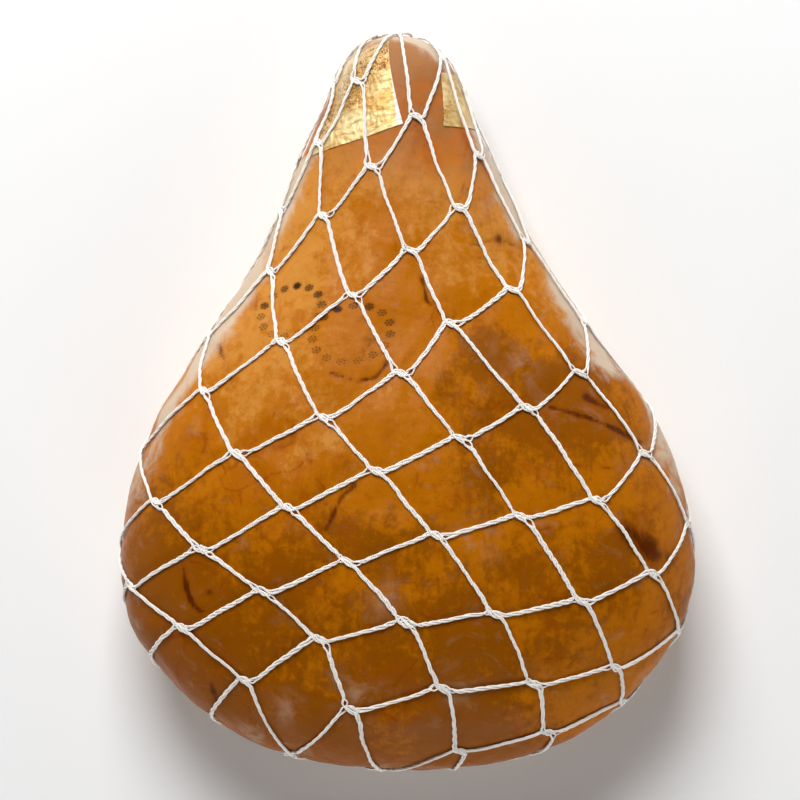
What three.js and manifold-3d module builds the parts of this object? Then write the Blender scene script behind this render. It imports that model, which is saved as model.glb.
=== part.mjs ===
// Boneless dry-cured ham in a cotton net, with two foil labels at the shank.
//
// Millimetres. The ham lies rind side up on its flat underside, which is at z = 0. +Y runs towards
// the shank tip, +X to the right seen from above, and the origin is under the middle of the ham.
//
// A place on the ham's skin is given by two numbers: "turn" is the fraction of the girth from the
// middle of the underside, round by -X to the top (0.5) and back by +X; "along" is the distance from
// the shank tip, measured over the top of the ham.

import * as THREE from 'three';
import { mergeVertices } from 'three/addons/utils/BufferGeometryUtils.js';
import Module from 'manifold-3d';

// ---------- the ham ----------

const LENGTH = 400;

// Cross-sections from the shank tip to the butt:
// distance from the tip, half width, sideways offset, height of the widest level, top, base.
const STATIONS = [
  [0, 0, -5, 42, 42, 42],
  [5, 17.5, -5, 42, 60, 27],
  [15, 28.5, -5, 42, 69, 19],
  [37, 38, -5, 42, 76, 13],
  [80, 56, -4.5, 43, 84, 5],
  [125, 79, -3.5, 44, 94, -3],
  [167, 106.5, -2, 46, 104, -7],
  [210, 134, -0.5, 48, 113, -9],
  [252, 150.5, 0, 50, 118, -9],
  [287, 155, 0, 51, 119, -9],
  [320, 148, 0, 52, 116, -8],
  [350, 128, 0, 52, 109, -4],
  [375, 100, 0.5, 52, 98, 7],
  [392, 60, 1, 52, 79, 24],
  [400, 0, 1.5, 52, 52, 52],
];
const TOP_ROUNDNESS = 2.15;      // exponent of the superellipse above the widest level
const BASE_ROUNDNESS = 2.7;      // and below it, where the sides are fuller
const FLOOR_BLEND = 3;           // the base is blended into the flat underside over this height
const SECTION_STEPS = 256;
const HAM_TURNS = 48;
const HAM_RINGS = 26;

// ---------- the net ----------

const MESHES = 9;                // meshes round the ham
const LEG = 45;                  // length of one side of a mesh, knot to knot
const LEAST_ROW = 6;             // the least height of a row where the net is stretched widest
const TOP_COLUMN = 9;            // the column of knots that runs down the middle of the top
const MIDDLE_ROW = 7.5;
const NET_PHASE = 0.02;          // turn of the whole net about the ham
const NET_SPREAD = 0.33;         // meshes are opened on the crown and closed underneath
const NET_TWIST = -0.17;         // turn gained over nine rows
const SIDE_LEAN = 21;            // rows lean towards the butt on the +X side
const CROWN_LEAN = -9;           // and towards the shank on the crown
const KNOT_RUN = 6;              // the two yarns run together this far at a knot
const KNOT_TILT = 0.4;           // slope of that run, towards the butt on the +X side
const STRAND_WIDTH = 3.6;
const STRAND_HEIGHT = 2.2;
const STRAND_GAP = 0.9;          // between the skin and the inner side of a strand
const LEAST_GIRTH = 4 * LEG;     // knots are no wider in turns than on this girth
const MOST_SPLITS = 5;           // a leg is halved at most this often
const LABEL_RISE = 0.65;         // strands stand this much higher where they cross a label
const LABELLED_LENGTH = 95;
const RISE_SPREAD = 15;          // either side of that length, over which the strands come down
const STRAND_SAG = 0.5;          // a straight piece of strand strays this far from the curve
const FLOOR_GAP = 0.3;           // strands under the ham stay this far above the table

// Places where the net was pulled on by hand: column, row, reach in rows, pull round the ham at its
// widest, pull towards the butt.
const TUGS = [
  [12, 10, 2.6, 40, 45],
  [5, 5, 2.6, -35, -25],
  [6, 2, 2.2, -55, -15],
  [9, 8, 2.2, 0, -20],
  [6, 10, 2.4, -5, 15],
  [8, 4, 2.2, 15, 0],
  [11, 4, 2.4, 10, -5],
  [8, 14, 2.6, 35, -25],
  [7.4, 6.6, 1.0, 2, 10],
  [9, 5, 0.8, -14, -5],
  [11, 7, 0.9, 0, 7],
  [9, 13, 0.9, -9, 0],
];
const WIDEST_GIRTH = 700;
const TUG_FADE = 0.25;           // tugs fade out towards the two gathers

// The net is gathered and tied below the shank tip and below the end of the butt: how far below,
// and how wide the displacement spreads.
const SHANK_GATHER = { drop: 22, spread: 55 };
const BUTT_GATHER = { drop: 45, spread: 95 };
const SHANK_NECK_WAY = new THREE.Vector3(0, 0.3, -0.95).normalize();
const BUTT_NECK_WAY = new THREE.Vector3(0, -0.88, -0.47).normalize();
const GATHER_RADIUS = 8.5;       // strands start and end this far from the middle of a gather
const LEAST_END = 0.3;           // no row of knots this close to the butt's gather

// Radius and distance along the neck where the net is drawn together, tied and cut off.
const NECK_PROFILE = [[0, -2], [10.5, -1.5], [11, 0.5], [8, 3], [4.4, 5.5], [3.5, 7], [3.5, 11.5],
  [5, 15], [4.4, 17.5], [0, 18.5]];
const NECK_SIDES = 12;
const TIE_PROFILE = [[3.9, 7.4], [6, 7.4], [6.5, 8], [6.5, 10.5], [6, 11.1], [3.9, 11.1]];
const TIE_SIDES = 16;

// ---------- the labels ----------

const LABEL_GAP = 0.5;
const LABEL_THICKNESS = 0.3;
const LABEL_CELLS = 9;

// Corners as [turn, along]: the two near the tip, from +X to -X, then the two near the butt.
const LEFT_LABEL = [[0.46, 17], [0.29, 38], [0.325, 88], [0.512, 71]];
const RIGHT_LABEL = [[0.8, 41], [0.63, 41], [0.598, 72], [0.77, 72]];

// Clearance left round the net where it is pressed into the ham.
const PRESS_GAP = 0.3;
const SLOT_FLARE = 0.6;
const POINT_GAP = 1.5;           // gaps over a strand's ridge and round a neck, in press gaps
const SLOT_REACH = -1;           // slots for strands that lie on the table run out through the base
const SLOT_DEPTH = 0.9;

// ---------- the shape of the skin ----------

const stationAngle = STATIONS.map(([distance]) => Math.acos(1 - 2 * distance / LENGTH));

// A smooth curve through one value per station, as a function of the station's angle. The stations
// are mirrored past each pole, with the sign changed for an odd value such as a width.
function stationCurve(values, odd) {
  const last = values.length - 1;
  const sign = odd ? -1 : 1;
  const x = [-stationAngle[2], -stationAngle[1], ...stationAngle,
    2 * Math.PI - stationAngle[last - 1], 2 * Math.PI - stationAngle[last - 2]];
  const y = [sign * values[2], sign * values[1], ...values,
    sign * values[last - 1], sign * values[last - 2]];
  const slope = x.map((_, i) => {
    if (i === 0 || i === x.length - 1) {
      return 0;
    }
    const before = x[i] - x[i - 1];
    const after = x[i + 1] - x[i];
    const rise = (y[i] - y[i - 1]) / before * after + (y[i + 1] - y[i]) / after * before;
    return rise / (before + after);
  });
  return (angle) => {
    let k = 1;
    while (k < x.length - 3 && x[k + 1] <= angle) {
      k += 1;
    }
    const h = x[k + 1] - x[k];
    const q = (angle - x[k]) / h;
    return (1 + 2 * q) * (1 - q) ** 2 * y[k] + q * (1 - q) ** 2 * h * slope[k]
      + q * q * (3 - 2 * q) * y[k + 1] + q * q * (q - 1) * h * slope[k + 1];
  };
}

const halfWidthAt = stationCurve(STATIONS.map((station) => station[1]), true);
const offsetAt = stationCurve(STATIONS.map((station) => station[2]), false);
const middleAt = stationCurve(STATIONS.map((station) => station[3]), false);
const riseAt = stationCurve(STATIONS.map((station) => station[4] - station[3]), true);
const dropAt = stationCurve(STATIONS.map((station) => station[3] - station[5]), true);

const signedPower = (value, power) => Math.sign(value) * Math.abs(value) ** power;

// Heights below the floor become zero, with a parabola that joins the two.
function flattenBase(z) {
  if (z <= -FLOOR_BLEND) {
    return 0;
  }
  if (z >= FLOOR_BLEND) {
    return z;
  }
  return (z + FLOOR_BLEND) ** 2 / (4 * FLOOR_BLEND);
}

// One cross-section: its points from the middle of the underside round by -X, and the distance to
// each of them round the girth.
function crossSection(angle) {
  const halfWidth = halfWidthAt(angle);
  const offset = offsetAt(angle);
  const middle = middleAt(angle);
  const rise = riseAt(angle);
  const drop = dropAt(angle);
  const x = [];
  const z = [];
  const distance = [0];
  for (let i = 0; i <= SECTION_STEPS; i += 1) {
    const theta = 2 * Math.PI * i / SECTION_STEPS;
    const side = -Math.sin(theta);
    const up = -Math.cos(theta);
    const power = 2 / (up > 0 ? TOP_ROUNDNESS : BASE_ROUNDNESS);
    x.push(offset + halfWidth * signedPower(side, power));
    z.push(flattenBase(middle + (up > 0 ? rise : drop) * signedPower(up, power)));
    if (i > 0) {
      distance.push(distance[i - 1] + Math.hypot(x[i] - x[i - 1], z[i] - z[i - 1]));
    }
  }
  return { x, z, distance, y: LENGTH / 2 * Math.cos(angle), girth: distance[SECTION_STEPS] };
}

// The point of a cross-section at a given turn.
function pointOnSection(section, turn) {
  const wanted = (turn - Math.floor(turn)) * section.girth;
  let low = 0;
  let high = SECTION_STEPS;
  while (high - low > 1) {
    const middle = (low + high) >> 1;
    if (section.distance[middle] <= wanted) {
      low = middle;
    } else {
      high = middle;
    }
  }
  const span = section.distance[high] - section.distance[low];
  const q = span > 0 ? (wanted - section.distance[low]) / span : 0;
  return new THREE.Vector3(
    THREE.MathUtils.lerp(section.x[low], section.x[high], q),
    section.y,
    THREE.MathUtils.lerp(section.z[low], section.z[high], q),
  );
}

// Distance over the crown and girth, against the station angle.
const CREST_STEPS = 240;
const crest = [];
for (let i = 0; i <= CREST_STEPS; i += 1) {
  const angle = Math.PI * i / CREST_STEPS;
  const section = crossSection(angle);
  const top = pointOnSection(section, 0.5);
  const previous = crest[i - 1];
  const along = previous ? previous.along + top.distanceTo(previous.top) : 0;
  crest.push({ angle, top, along, girth: section.girth });
}
const CREST_LENGTH = crest[CREST_STEPS].along;

// Reads a column of a table whose key column rises, by straight lines between its rows.
function readTable(table, key, wanted, column) {
  let low = 0;
  let high = table.length - 1;
  while (high - low > 1) {
    const middle = (low + high) >> 1;
    if (table[middle][key] <= wanted) {
      low = middle;
    } else {
      high = middle;
    }
  }
  const q = (wanted - table[low][key]) / (table[high][key] - table[low][key]);
  return THREE.MathUtils.lerp(table[low][column], table[high][column], THREE.MathUtils.clamp(q, 0, 1));
}

const girthAt = (along) => readTable(crest, 'along', along, 'girth');

function skinPoint(turn, along) {
  return pointOnSection(crossSection(readTable(crest, 'along', along, 'angle')), turn);
}

// The outward normal, from points 1 mm to either side and no nearer to a pole than 1.5 mm.
const NORMAL_STEP = 1;
const POLE_CLEARANCE = 1.5;
const MOST_TURN_STEP = 0.1;

function skinNormal(turn, along) {
  const middle = THREE.MathUtils.clamp(along, POLE_CLEARANCE, CREST_LENGTH - POLE_CLEARANCE);
  const turnStep = Math.min(MOST_TURN_STEP, NORMAL_STEP / girthAt(middle));
  const round = skinPoint(turn + turnStep, middle).sub(skinPoint(turn - turnStep, middle));
  const lengthwise = skinPoint(turn, middle + NORMAL_STEP).sub(skinPoint(turn, middle - NORMAL_STEP));
  return lengthwise.cross(round).normalize();
}

// ---------- meshes ----------

const wasm = await Module();
wasm.setup();

function geometryOf(points, triangles) {
  const geometry = new THREE.BufferGeometry().setFromPoints(points);
  geometry.setIndex(triangles);
  return geometry;
}

function solidOf(geometry) {
  const bare = geometry.clone();
  bare.deleteAttribute('normal');
  bare.deleteAttribute('uv');
  const merged = mergeVertices(bare, 1e-4);
  return new wasm.Manifold(new wasm.Mesh({
    numProp: 3,
    vertProperties: new Float32Array(merged.attributes.position.array),
    triVerts: new Uint32Array(merged.index.array),
  }));
}

function geometryOfSolid(solid) {
  const mesh = solid.getMesh();
  const geometry = new THREE.BufferGeometry();
  geometry.setAttribute('position', new THREE.Float32BufferAttribute(mesh.vertProperties, 3));
  geometry.setIndex([...mesh.triVerts]);
  return geometry;
}

const joined = (solids) => solids.reduce((whole, solid) => whole.add(solid));

// A skin over rings of points that all have the same number of points, closed at both ends by the
// ring's own fan. Rings run anticlockwise seen from the far end.
function loft(rings) {
  const sides = rings[0].length;
  const triangles = [];
  for (let i = 0; i < rings.length - 1; i += 1) {
    for (let j = 0; j < sides; j += 1) {
      const a = i * sides + j;
      const b = i * sides + (j + 1) % sides;
      triangles.push(a, b, b + sides, a, b + sides, a + sides);
    }
  }
  const end = (rings.length - 1) * sides;
  for (let j = 1; j < sides - 1; j += 1) {
    triangles.push(0, j + 1, j);
    triangles.push(end, end + j, end + j + 1);
  }
  return geometryOf(rings.flat(), triangles);
}

// A profile of radius and distance turned about an axis that starts at a point.
function turned(profile, sides, start, way) {
  const outline = profile.map(([radius, distance]) => new THREE.Vector2(radius, distance));
  const geometry = new THREE.LatheGeometry(outline, sides);
  const turn = new THREE.Quaternion().setFromUnitVectors(new THREE.Vector3(0, 1, 0), way);
  geometry.applyQuaternion(turn);
  geometry.translate(start.x, start.y, start.z);
  return geometry;
}

// ---------- the ham's own solid ----------

function hamGeometry() {
  const points = [];
  for (let i = 1; i < HAM_RINGS; i += 1) {
    const section = crossSection(Math.PI * i / HAM_RINGS);
    for (let j = 0; j < HAM_TURNS; j += 1) {
      points.push(pointOnSection(section, j / HAM_TURNS));
    }
  }
  const tip = points.push(skinPoint(0, 0)) - 1;
  const butt = points.push(skinPoint(0, CREST_LENGTH)) - 1;
  const triangles = [];
  const lastRing = (HAM_RINGS - 2) * HAM_TURNS;
  for (let j = 0; j < HAM_TURNS; j += 1) {
    const next = (j + 1) % HAM_TURNS;
    triangles.push(tip, j, next);
    triangles.push(butt, lastRing + next, lastRing + j);
    for (let ring = 0; ring < lastRing; ring += HAM_TURNS) {
      triangles.push(ring + j, ring + next + HAM_TURNS, ring + next);
      triangles.push(ring + j, ring + j + HAM_TURNS, ring + next + HAM_TURNS);
    }
  }
  return geometryOf(points, triangles);
}

// ---------- the net's lattice ----------

// Rows of the net against the distance along the ham. A leg of fixed length spans half a mesh's
// width and one row, so rows are low where the girth is wide.
const rowTable = [];
for (const { along, girth } of crest) {
  const halfMesh = girth / (2 * MESHES);
  const height = Math.sqrt(Math.max(LEG ** 2 - halfMesh ** 2, LEAST_ROW ** 2));
  const previous = rowTable[rowTable.length - 1];
  const rows = previous ? (along - previous.along) / 2 * (1 / height + 1 / previous.height) : 0;
  rowTable.push({ along, height, row: previous ? previous.row + rows : 0 });
}
const ROWS = rowTable[rowTable.length - 1].row;

// The place of a lattice point, before the net is displaced towards its gathers.
function latticePlace(row, column) {
  const start = readTable(rowTable, 'row', row, 'along');
  const ends = Math.sin(Math.PI * start / CREST_LENGTH);
  const round = (column - TOP_COLUMN) / (2 * MESHES);
  let turn = 0.5 + round - NET_SPREAD * Math.sin(2 * Math.PI * round) / (2 * Math.PI);
  turn += NET_PHASE + NET_TWIST * (row - MIDDLE_ROW) / MESHES;
  const theta = 2 * Math.PI * (turn - 0.5);
  const lean = SIDE_LEAN * Math.sin(theta) + CROWN_LEAN * Math.cos(theta);
  let along = start + Math.sqrt(Math.max(ends, 0)) * lean;
  for (const [tugColumn, tugRow, reach, pullRound, pullAlong] of TUGS) {
    const across = THREE.MathUtils.euclideanModulo(column - tugColumn + MESHES, 2 * MESHES) - MESHES;
    const share = Math.exp(-(across ** 2 + (row - tugRow) ** 2) / (2 * reach ** 2))
      * Math.min(1, ends / TUG_FADE);
    along += pullAlong * share;
    turn += pullRound / WIDEST_GIRTH * share;
  }
  return { turn, along };
}

// Moves a place towards the gather at one end, in the flat map centred on that end's pole.
function towardsGather(radius, theta, gather) {
  const x = radius * Math.sin(theta);
  const y = radius * Math.cos(theta) - gather.drop * Math.exp(-((radius / gather.spread) ** 2));
  return { radius: Math.hypot(x, y), theta: Math.atan2(x, y) };
}

function displaced({ turn, along }) {
  const butt = towardsGather(CREST_LENGTH - along, 2 * Math.PI * (turn - 0.5), BUTT_GATHER);
  const shank = towardsGather(CREST_LENGTH - butt.radius, butt.theta, SHANK_GATHER);
  return { turn: 0.5 + shank.theta / (2 * Math.PI), along: shank.radius };
}

// One end of the short run at a knot: side is -1 for its -X end and 1 for its +X end.
function knotEnd(row, column, side) {
  const knot = latticePlace(row, column);
  const fromEnd = Math.min(row, ROWS - row);
  const half = side * KNOT_RUN / 2 * Math.min(1, fromEnd / 2);
  return {
    turn: knot.turn + half * Math.cos(KNOT_TILT) / Math.max(girthAt(knot.along), LEAST_GIRTH),
    along: knot.along + half * Math.sin(KNOT_TILT),
  };
}

// The corners of one strand from gather to gather. lean is 1 for a strand that moves on a column
// with each row and -1 for one that moves back. Both kinds share the short run at a knot.
function strandCorners(index, lean) {
  const first = 2 * index;
  const corners = [{ turn: latticePlace(0, first).turn, along: GATHER_RADIUS }];
  for (let row = 1; row < ROWS - LEAST_END; row += 1) {
    corners.push(knotEnd(row, first + lean * row, -lean));
    corners.push(knotEnd(row, first + lean * row, lean));
  }
  const last = latticePlace(ROWS, first + lean * ROWS);
  corners.push({ turn: last.turn, along: CREST_LENGTH - GATHER_RADIUS });
  return corners;
}

// ---------- the net's strands ----------

function onSkin(place) {
  const { turn, along } = displaced(place);
  return { turn: place.turn, along: place.along, point: skinPoint(turn, along), at: { turn, along } };
}

// Points between two corners, close enough together for straight pieces to follow the skin.
function between(first, last, depth = 0) {
  const middle = onSkin({ turn: (first.turn + last.turn) / 2, along: (first.along + last.along) / 2 });
  const chord = first.point.clone().add(last.point).multiplyScalar(0.5);
  if (depth === MOST_SPLITS || chord.distanceTo(middle.point) < STRAND_SAG) {
    return [];
  }
  return [...between(first, middle, depth + 1), middle, ...between(middle, last, depth + 1)];
}

function pathThrough(corners) {
  const places = corners.map(onSkin);
  const path = [places[0]];
  for (let i = 1; i < places.length; i += 1) {
    path.push(...between(places[i - 1], places[i]), places[i]);
  }
  return path;
}

// Rings of a strand, a triangle with its flat side to the skin. grow widens it all round for the
// slot that it presses into the ham.
function strandRings(path, grow) {
  return path.map(({ point, at }, i) => {
    const normal = skinNormal(at.turn, at.along);
    const before = path[Math.max(i - 1, 0)].point;
    const after = path[Math.min(i + 1, path.length - 1)].point;
    const back = point.clone().sub(before).normalize();
    const ahead = after.clone().sub(point).normalize();
    const side = back.add(ahead).cross(normal).normalize();
    const labelled = LABELLED_LENGTH - at.along;
    const rise = LABEL_RISE * THREE.MathUtils.smoothstep(labelled, -RISE_SPREAD, RISE_SPREAD);
    const corner = (across, height) => point.clone()
      .addScaledVector(side, across)
      .addScaledVector(normal, height + STRAND_GAP + rise);
    const lowest = Math.min(corner(STRAND_WIDTH / 2, 0).z, corner(-STRAND_WIDTH / 2, 0).z,
      corner(0, STRAND_HEIGHT).z);
    const lift = Math.max(0, FLOOR_GAP - lowest);
    const half = STRAND_WIDTH / 2 + (grow > 0 ? SLOT_FLARE : 0);
    const ridge = STRAND_HEIGHT + POINT_GAP * grow;
    const ring = [corner(-half, -grow), corner(0, ridge), corner(half, -grow)];
    for (const vertex of ring) {
      vertex.z += lift;
      if (grow > 0 && vertex.z < SLOT_DEPTH) {
        vertex.z = SLOT_REACH;
      }
    }
    return ring;
  });
}

// ---------- the gathers ----------

const shankStart = skinPoint(0, SHANK_GATHER.drop);
const buttStart = skinPoint(0, CREST_LENGTH - BUTT_GATHER.drop);
const necks = [[shankStart, SHANK_NECK_WAY], [buttStart, BUTT_NECK_WAY]];

// A neck's profile with clearance all round, closed on its axis.
function clearProfile(profile) {
  return profile.map(([radius, distance], i) => {
    if (i === 0) {
      return [0, distance - PRESS_GAP];
    }
    if (i === profile.length - 1) {
      return [0, distance + PRESS_GAP];
    }
    return [radius + POINT_GAP * PRESS_GAP, distance - (distance < 0 ? PRESS_GAP : 0)];
  });
}

// Strands that lean one way are whole. The others are legs that end at the corners of the first,
// whose knots hold the run that both share.
const paths = [];
for (let index = 0; index < MESHES; index += 1) {
  paths.push(pathThrough(strandCorners(index, 1)));
  const corners = strandCorners(index, -1);
  for (let i = 0; i < corners.length; i += 2) {
    paths.push(pathThrough([corners[i], corners[i + 1]]));
  }
}
const net = joined([
  ...paths.map((path) => solidOf(loft(strandRings(path, 0)))),
  ...necks.map(([start, way]) => solidOf(turned(NECK_PROFILE, NECK_SIDES, start, way))),
]);
const slots = joined([
  ...paths.map((path) => solidOf(loft(strandRings(path, PRESS_GAP)))),
  ...necks.map(([start, way]) => solidOf(turned(clearProfile(NECK_PROFILE), NECK_SIDES, start, way))),
]);
const ham = solidOf(hamGeometry()).subtract(slots);

// ---------- ties and labels ----------

function tieGeometry([start, way]) {
  return turned([...TIE_PROFILE, TIE_PROFILE[0]], TIE_SIDES, start, way);
}

// A thin sheet on the skin between four corners, as a closed shell.
function labelGeometry([a, b, c, d]) {
  const inner = [];
  const outer = [];
  const cells = LABEL_CELLS;
  for (let i = 0; i <= cells; i += 1) {
    for (let j = 0; j <= cells; j += 1) {
      const p = i / cells;
      const q = j / cells;
      const blend = (k) => (1 - p) * ((1 - q) * a[k] + q * b[k]) + p * ((1 - q) * d[k] + q * c[k]);
      const normal = skinNormal(blend(0), blend(1));
      const point = skinPoint(blend(0), blend(1)).addScaledVector(normal, LABEL_GAP);
      inner.push(point);
      outer.push(point.clone().addScaledVector(normal, LABEL_THICKNESS));
    }
  }
  const row = cells + 1;
  const count = row * row;
  const triangles = [];
  const quad = (m, n, o, p) => triangles.push(m, o, n, m, p, o);
  // a side face between two neighbouring points of the rim
  const edge = (m, n) => quad(m, count + m, count + n, n);
  for (let i = 0; i < cells; i += 1) {
    for (let j = 0; j < cells; j += 1) {
      const m = i * row + j;
      quad(m, m + 1, m + row + 1, m + row);
      quad(count + m, count + m + row, count + m + row + 1, count + m + 1);
    }
    const last = cells * row;
    edge(i, i + 1);
    edge(last + i + 1, last + i);
    edge((i + 1) * row, i * row);
    edge(i * row + cells, (i + 1) * row + cells);
  }
  return geometryOf([...inner, ...outer], triangles);
}

// ---------- materials and assembly ----------

const rind = new THREE.MeshStandardMaterial({ color: 0xb0722a, roughness: 0.42, metalness: 0 });
const cotton = new THREE.MeshStandardMaterial({ color: 0xeee9dc, roughness: 0.9, metalness: 0 });
const twine = new THREE.MeshStandardMaterial({ color: 0xe6dcc4, roughness: 0.9, metalness: 0 });
const foil = new THREE.MeshStandardMaterial({ color: 0xd9b452, roughness: 0.3, metalness: 1 });

const group = new THREE.Group();

function addPiece(name, geometry, material) {
  const mesh = new THREE.Mesh(geometry, material);
  mesh.name = name;
  group.add(mesh);
}

addPiece('ham', geometryOfSolid(ham), rind);
addPiece('net', geometryOfSolid(net), cotton);
addPiece('shank_tie', tieGeometry(necks[0]), twine);
addPiece('butt_tie', tieGeometry(necks[1]), twine);
addPiece('foil_label_left', labelGeometry(LEFT_LABEL), foil);
addPiece('foil_label_right', labelGeometry(RIGHT_LABEL), foil);

export default group;
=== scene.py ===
"""Boneless dry-cured ham in a cotton net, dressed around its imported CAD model.

The ham lies rind side up. Lengths are in millimetres until a mesh is made, where they become metres.
A place on the skin is (turn, along): turn is the fraction of the girth from the middle of the
underside, round by -X to the top (0.5) and back by +X; along is the distance from the shank tip,
measured over the top.
"""

import logging
import math
from dataclasses import dataclass, field
from enum import Enum
from typing import Sequence

import bpy
import numpy as np
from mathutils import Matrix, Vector


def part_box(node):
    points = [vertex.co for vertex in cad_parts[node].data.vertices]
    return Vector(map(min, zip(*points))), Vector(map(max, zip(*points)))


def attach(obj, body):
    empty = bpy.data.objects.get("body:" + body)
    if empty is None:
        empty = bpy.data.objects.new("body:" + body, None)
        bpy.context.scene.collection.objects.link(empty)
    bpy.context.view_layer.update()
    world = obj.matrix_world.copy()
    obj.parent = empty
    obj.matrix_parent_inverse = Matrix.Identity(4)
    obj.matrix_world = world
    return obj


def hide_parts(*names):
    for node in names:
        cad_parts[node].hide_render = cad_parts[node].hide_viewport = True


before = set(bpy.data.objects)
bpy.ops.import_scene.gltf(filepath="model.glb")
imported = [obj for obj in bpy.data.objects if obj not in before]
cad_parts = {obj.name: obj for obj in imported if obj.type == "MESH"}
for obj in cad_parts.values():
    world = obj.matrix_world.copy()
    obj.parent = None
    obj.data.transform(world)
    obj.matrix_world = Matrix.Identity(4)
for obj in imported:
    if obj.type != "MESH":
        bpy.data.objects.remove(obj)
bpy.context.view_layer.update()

Array = np.ndarray
LOG = logging.getLogger("cured_ham")
MM = 0.001
ROOT = "root"
TAU = 2.0 * math.pi
# the least gap between a yarn and the table
FLOOR_CLEAR = 0.25
# points that a smooth line gets between two of its given points
LINE_STEPS = 24
Colour = tuple[int, int, int]
Mesh = tuple[Array, list[Array], Array]
Socket = bpy.types.NodeSocket
Material = bpy.types.Material


class Slot(Enum):
    """The record's material slots."""

    RIND = "ham_rind"
    NET = "cotton_net"
    TWINE = "twine"
    FOIL = "gold_foil"


# ---------------------------------------------------------------- arithmetic on arrays


def smoothstep(low: float, high: float, x: Array) -> Array:
    """Rises from 0 at low to 1 at high as 3t^2 - 2t^3.

    Args:
        low: value where the step starts.
        high: value where the step ends; below low for a falling step.
        x: values to step.

    Returns:
        The step at each x.
    """
    t = np.clip((x - low) / (high - low), 0.0, 1.0)
    return t * t * (3.0 - 2.0 * t)


def unit(vectors: Array) -> Array:
    """Scales the vectors along the last axis to length one."""
    return vectors / np.maximum(np.linalg.norm(vectors, axis=-1, keepdims=True), 1e-12)


def running_length(points: Array) -> Array:
    """Distance along a polyline from its first point to each of its points."""
    steps = np.linalg.norm(np.diff(points, axis=0), axis=1)
    return np.concatenate([[0.0], np.cumsum(steps)])


def bell(x: Array, reach: float) -> Array:
    """1 at x = 0, falling to 1/e at reach as exp(-(x / reach)^2)."""
    return np.exp(-((x / reach) ** 2))


def flowing(points: Array, step: float) -> Array:
    """A smooth line through a few points, evenly stepped.

    Each stretch is the Catmull-Rom cubic, whose slope at a point is half the way from the point
    before to the point after.

    Args:
        points: the points it passes, shape (n, 3).
        step: distance between the points returned.

    Returns:
        Points of the line, shape (m, 3).
    """
    padded = np.concatenate([2 * points[:1] - points[1:2], points, 2 * points[-1:] - points[-2:-1]])
    a, b, c, d = (padded[k:len(padded) - 3 + k, None] for k in range(4))
    t = np.linspace(0.0, 1.0, LINE_STEPS, endpoint=False)[None, :, None]
    bend = (2 * a - 5 * b + 4 * c - d) * t ** 2 + (3 * b - a - 3 * c + d) * t ** 3
    curve = np.concatenate([(b + 0.5 * ((c - a) * t + bend)).reshape(-1, 3), points[-1:]])
    length = running_length(curve)
    even = np.linspace(0.0, length[-1], int(length[-1] / step) + 2)
    return np.stack([np.interp(even, length, curve[:, k]) for k in range(3)], axis=1)


@dataclass(frozen=True)
class Ripple:
    """Smooth random relief: the mean of cosine waves with seeded directions and phases."""

    scale: float
    seed: int
    waves: int = 28
    lengths: tuple[float, float] = (0.7, 1.6)
    level: float = 0.6

    def __call__(self, points: Array) -> Array:
        """Evaluates the relief.

        Args:
            points: places in millimetres, shape (n, k).

        Returns:
            Heights of about -1 to 1, shape (n,).
        """
        rng = np.random.default_rng(self.seed)
        ways = unit(rng.normal(size=(self.waves, points.shape[-1])))
        lengths = self.scale * rng.uniform(*self.lengths, self.waves)
        phases = rng.uniform(0.0, TAU, self.waves)
        waves = np.cos(points @ (ways * (TAU / lengths[:, None])).T + phases)
        return waves.sum(axis=1) * math.sqrt(2.0 / self.waves) * self.level


def facing_up(normals: Array) -> Array:
    """1 where a surface faces up or sideways, falling to 0 where it turns under."""
    return smoothstep(-0.2, 0.25, normals[:, 2])


# ---------------------------------------------------------------- meshes


def grid_quads(rows: int, columns: int, closed: bool) -> Array:
    """Corners of the quads of a grid whose points are numbered row by row.

    Args:
        rows: number of rows of points.
        columns: number of points in a row.
        closed: whether each row is a ring.

    Returns:
        Point numbers, shape (quads, 4), anticlockwise for rows that go up and columns to the right.
    """
    across = np.arange(columns if closed else columns - 1)
    row, column = np.meshgrid(np.arange(rows - 1), across, indexing="ij")
    after = (column + 1) % columns
    corners = [row * columns + column, row * columns + after]
    corners += [(row + 1) * columns + after, (row + 1) * columns + column]
    return np.stack(corners, axis=-1).reshape(-1, 4)


def closed_rings(rings: int, columns: int, turned: bool) -> list[Array]:
    """Faces of a stack of rings, with a fan over either end about the two points that follow them.

    Args:
        rings: number of rings.
        columns: number of points in a ring.
        turned: whether the faces look the other way.

    Returns:
        The quads between the rings and the triangles of the fans.
    """
    first = np.arange(columns)
    second = (first + 1) % columns
    quads = grid_quads(rings, columns, True)
    if turned:
        first, second = second, first
        quads = quads[:, ::-1]
    count = rings * columns
    last = count - columns
    near = np.stack([np.full(columns, count), second, first], axis=-1)
    far = np.stack([np.full(columns, count + 1), last + first, last + second], axis=-1)
    return [quads, np.concatenate([near, far])]


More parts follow.
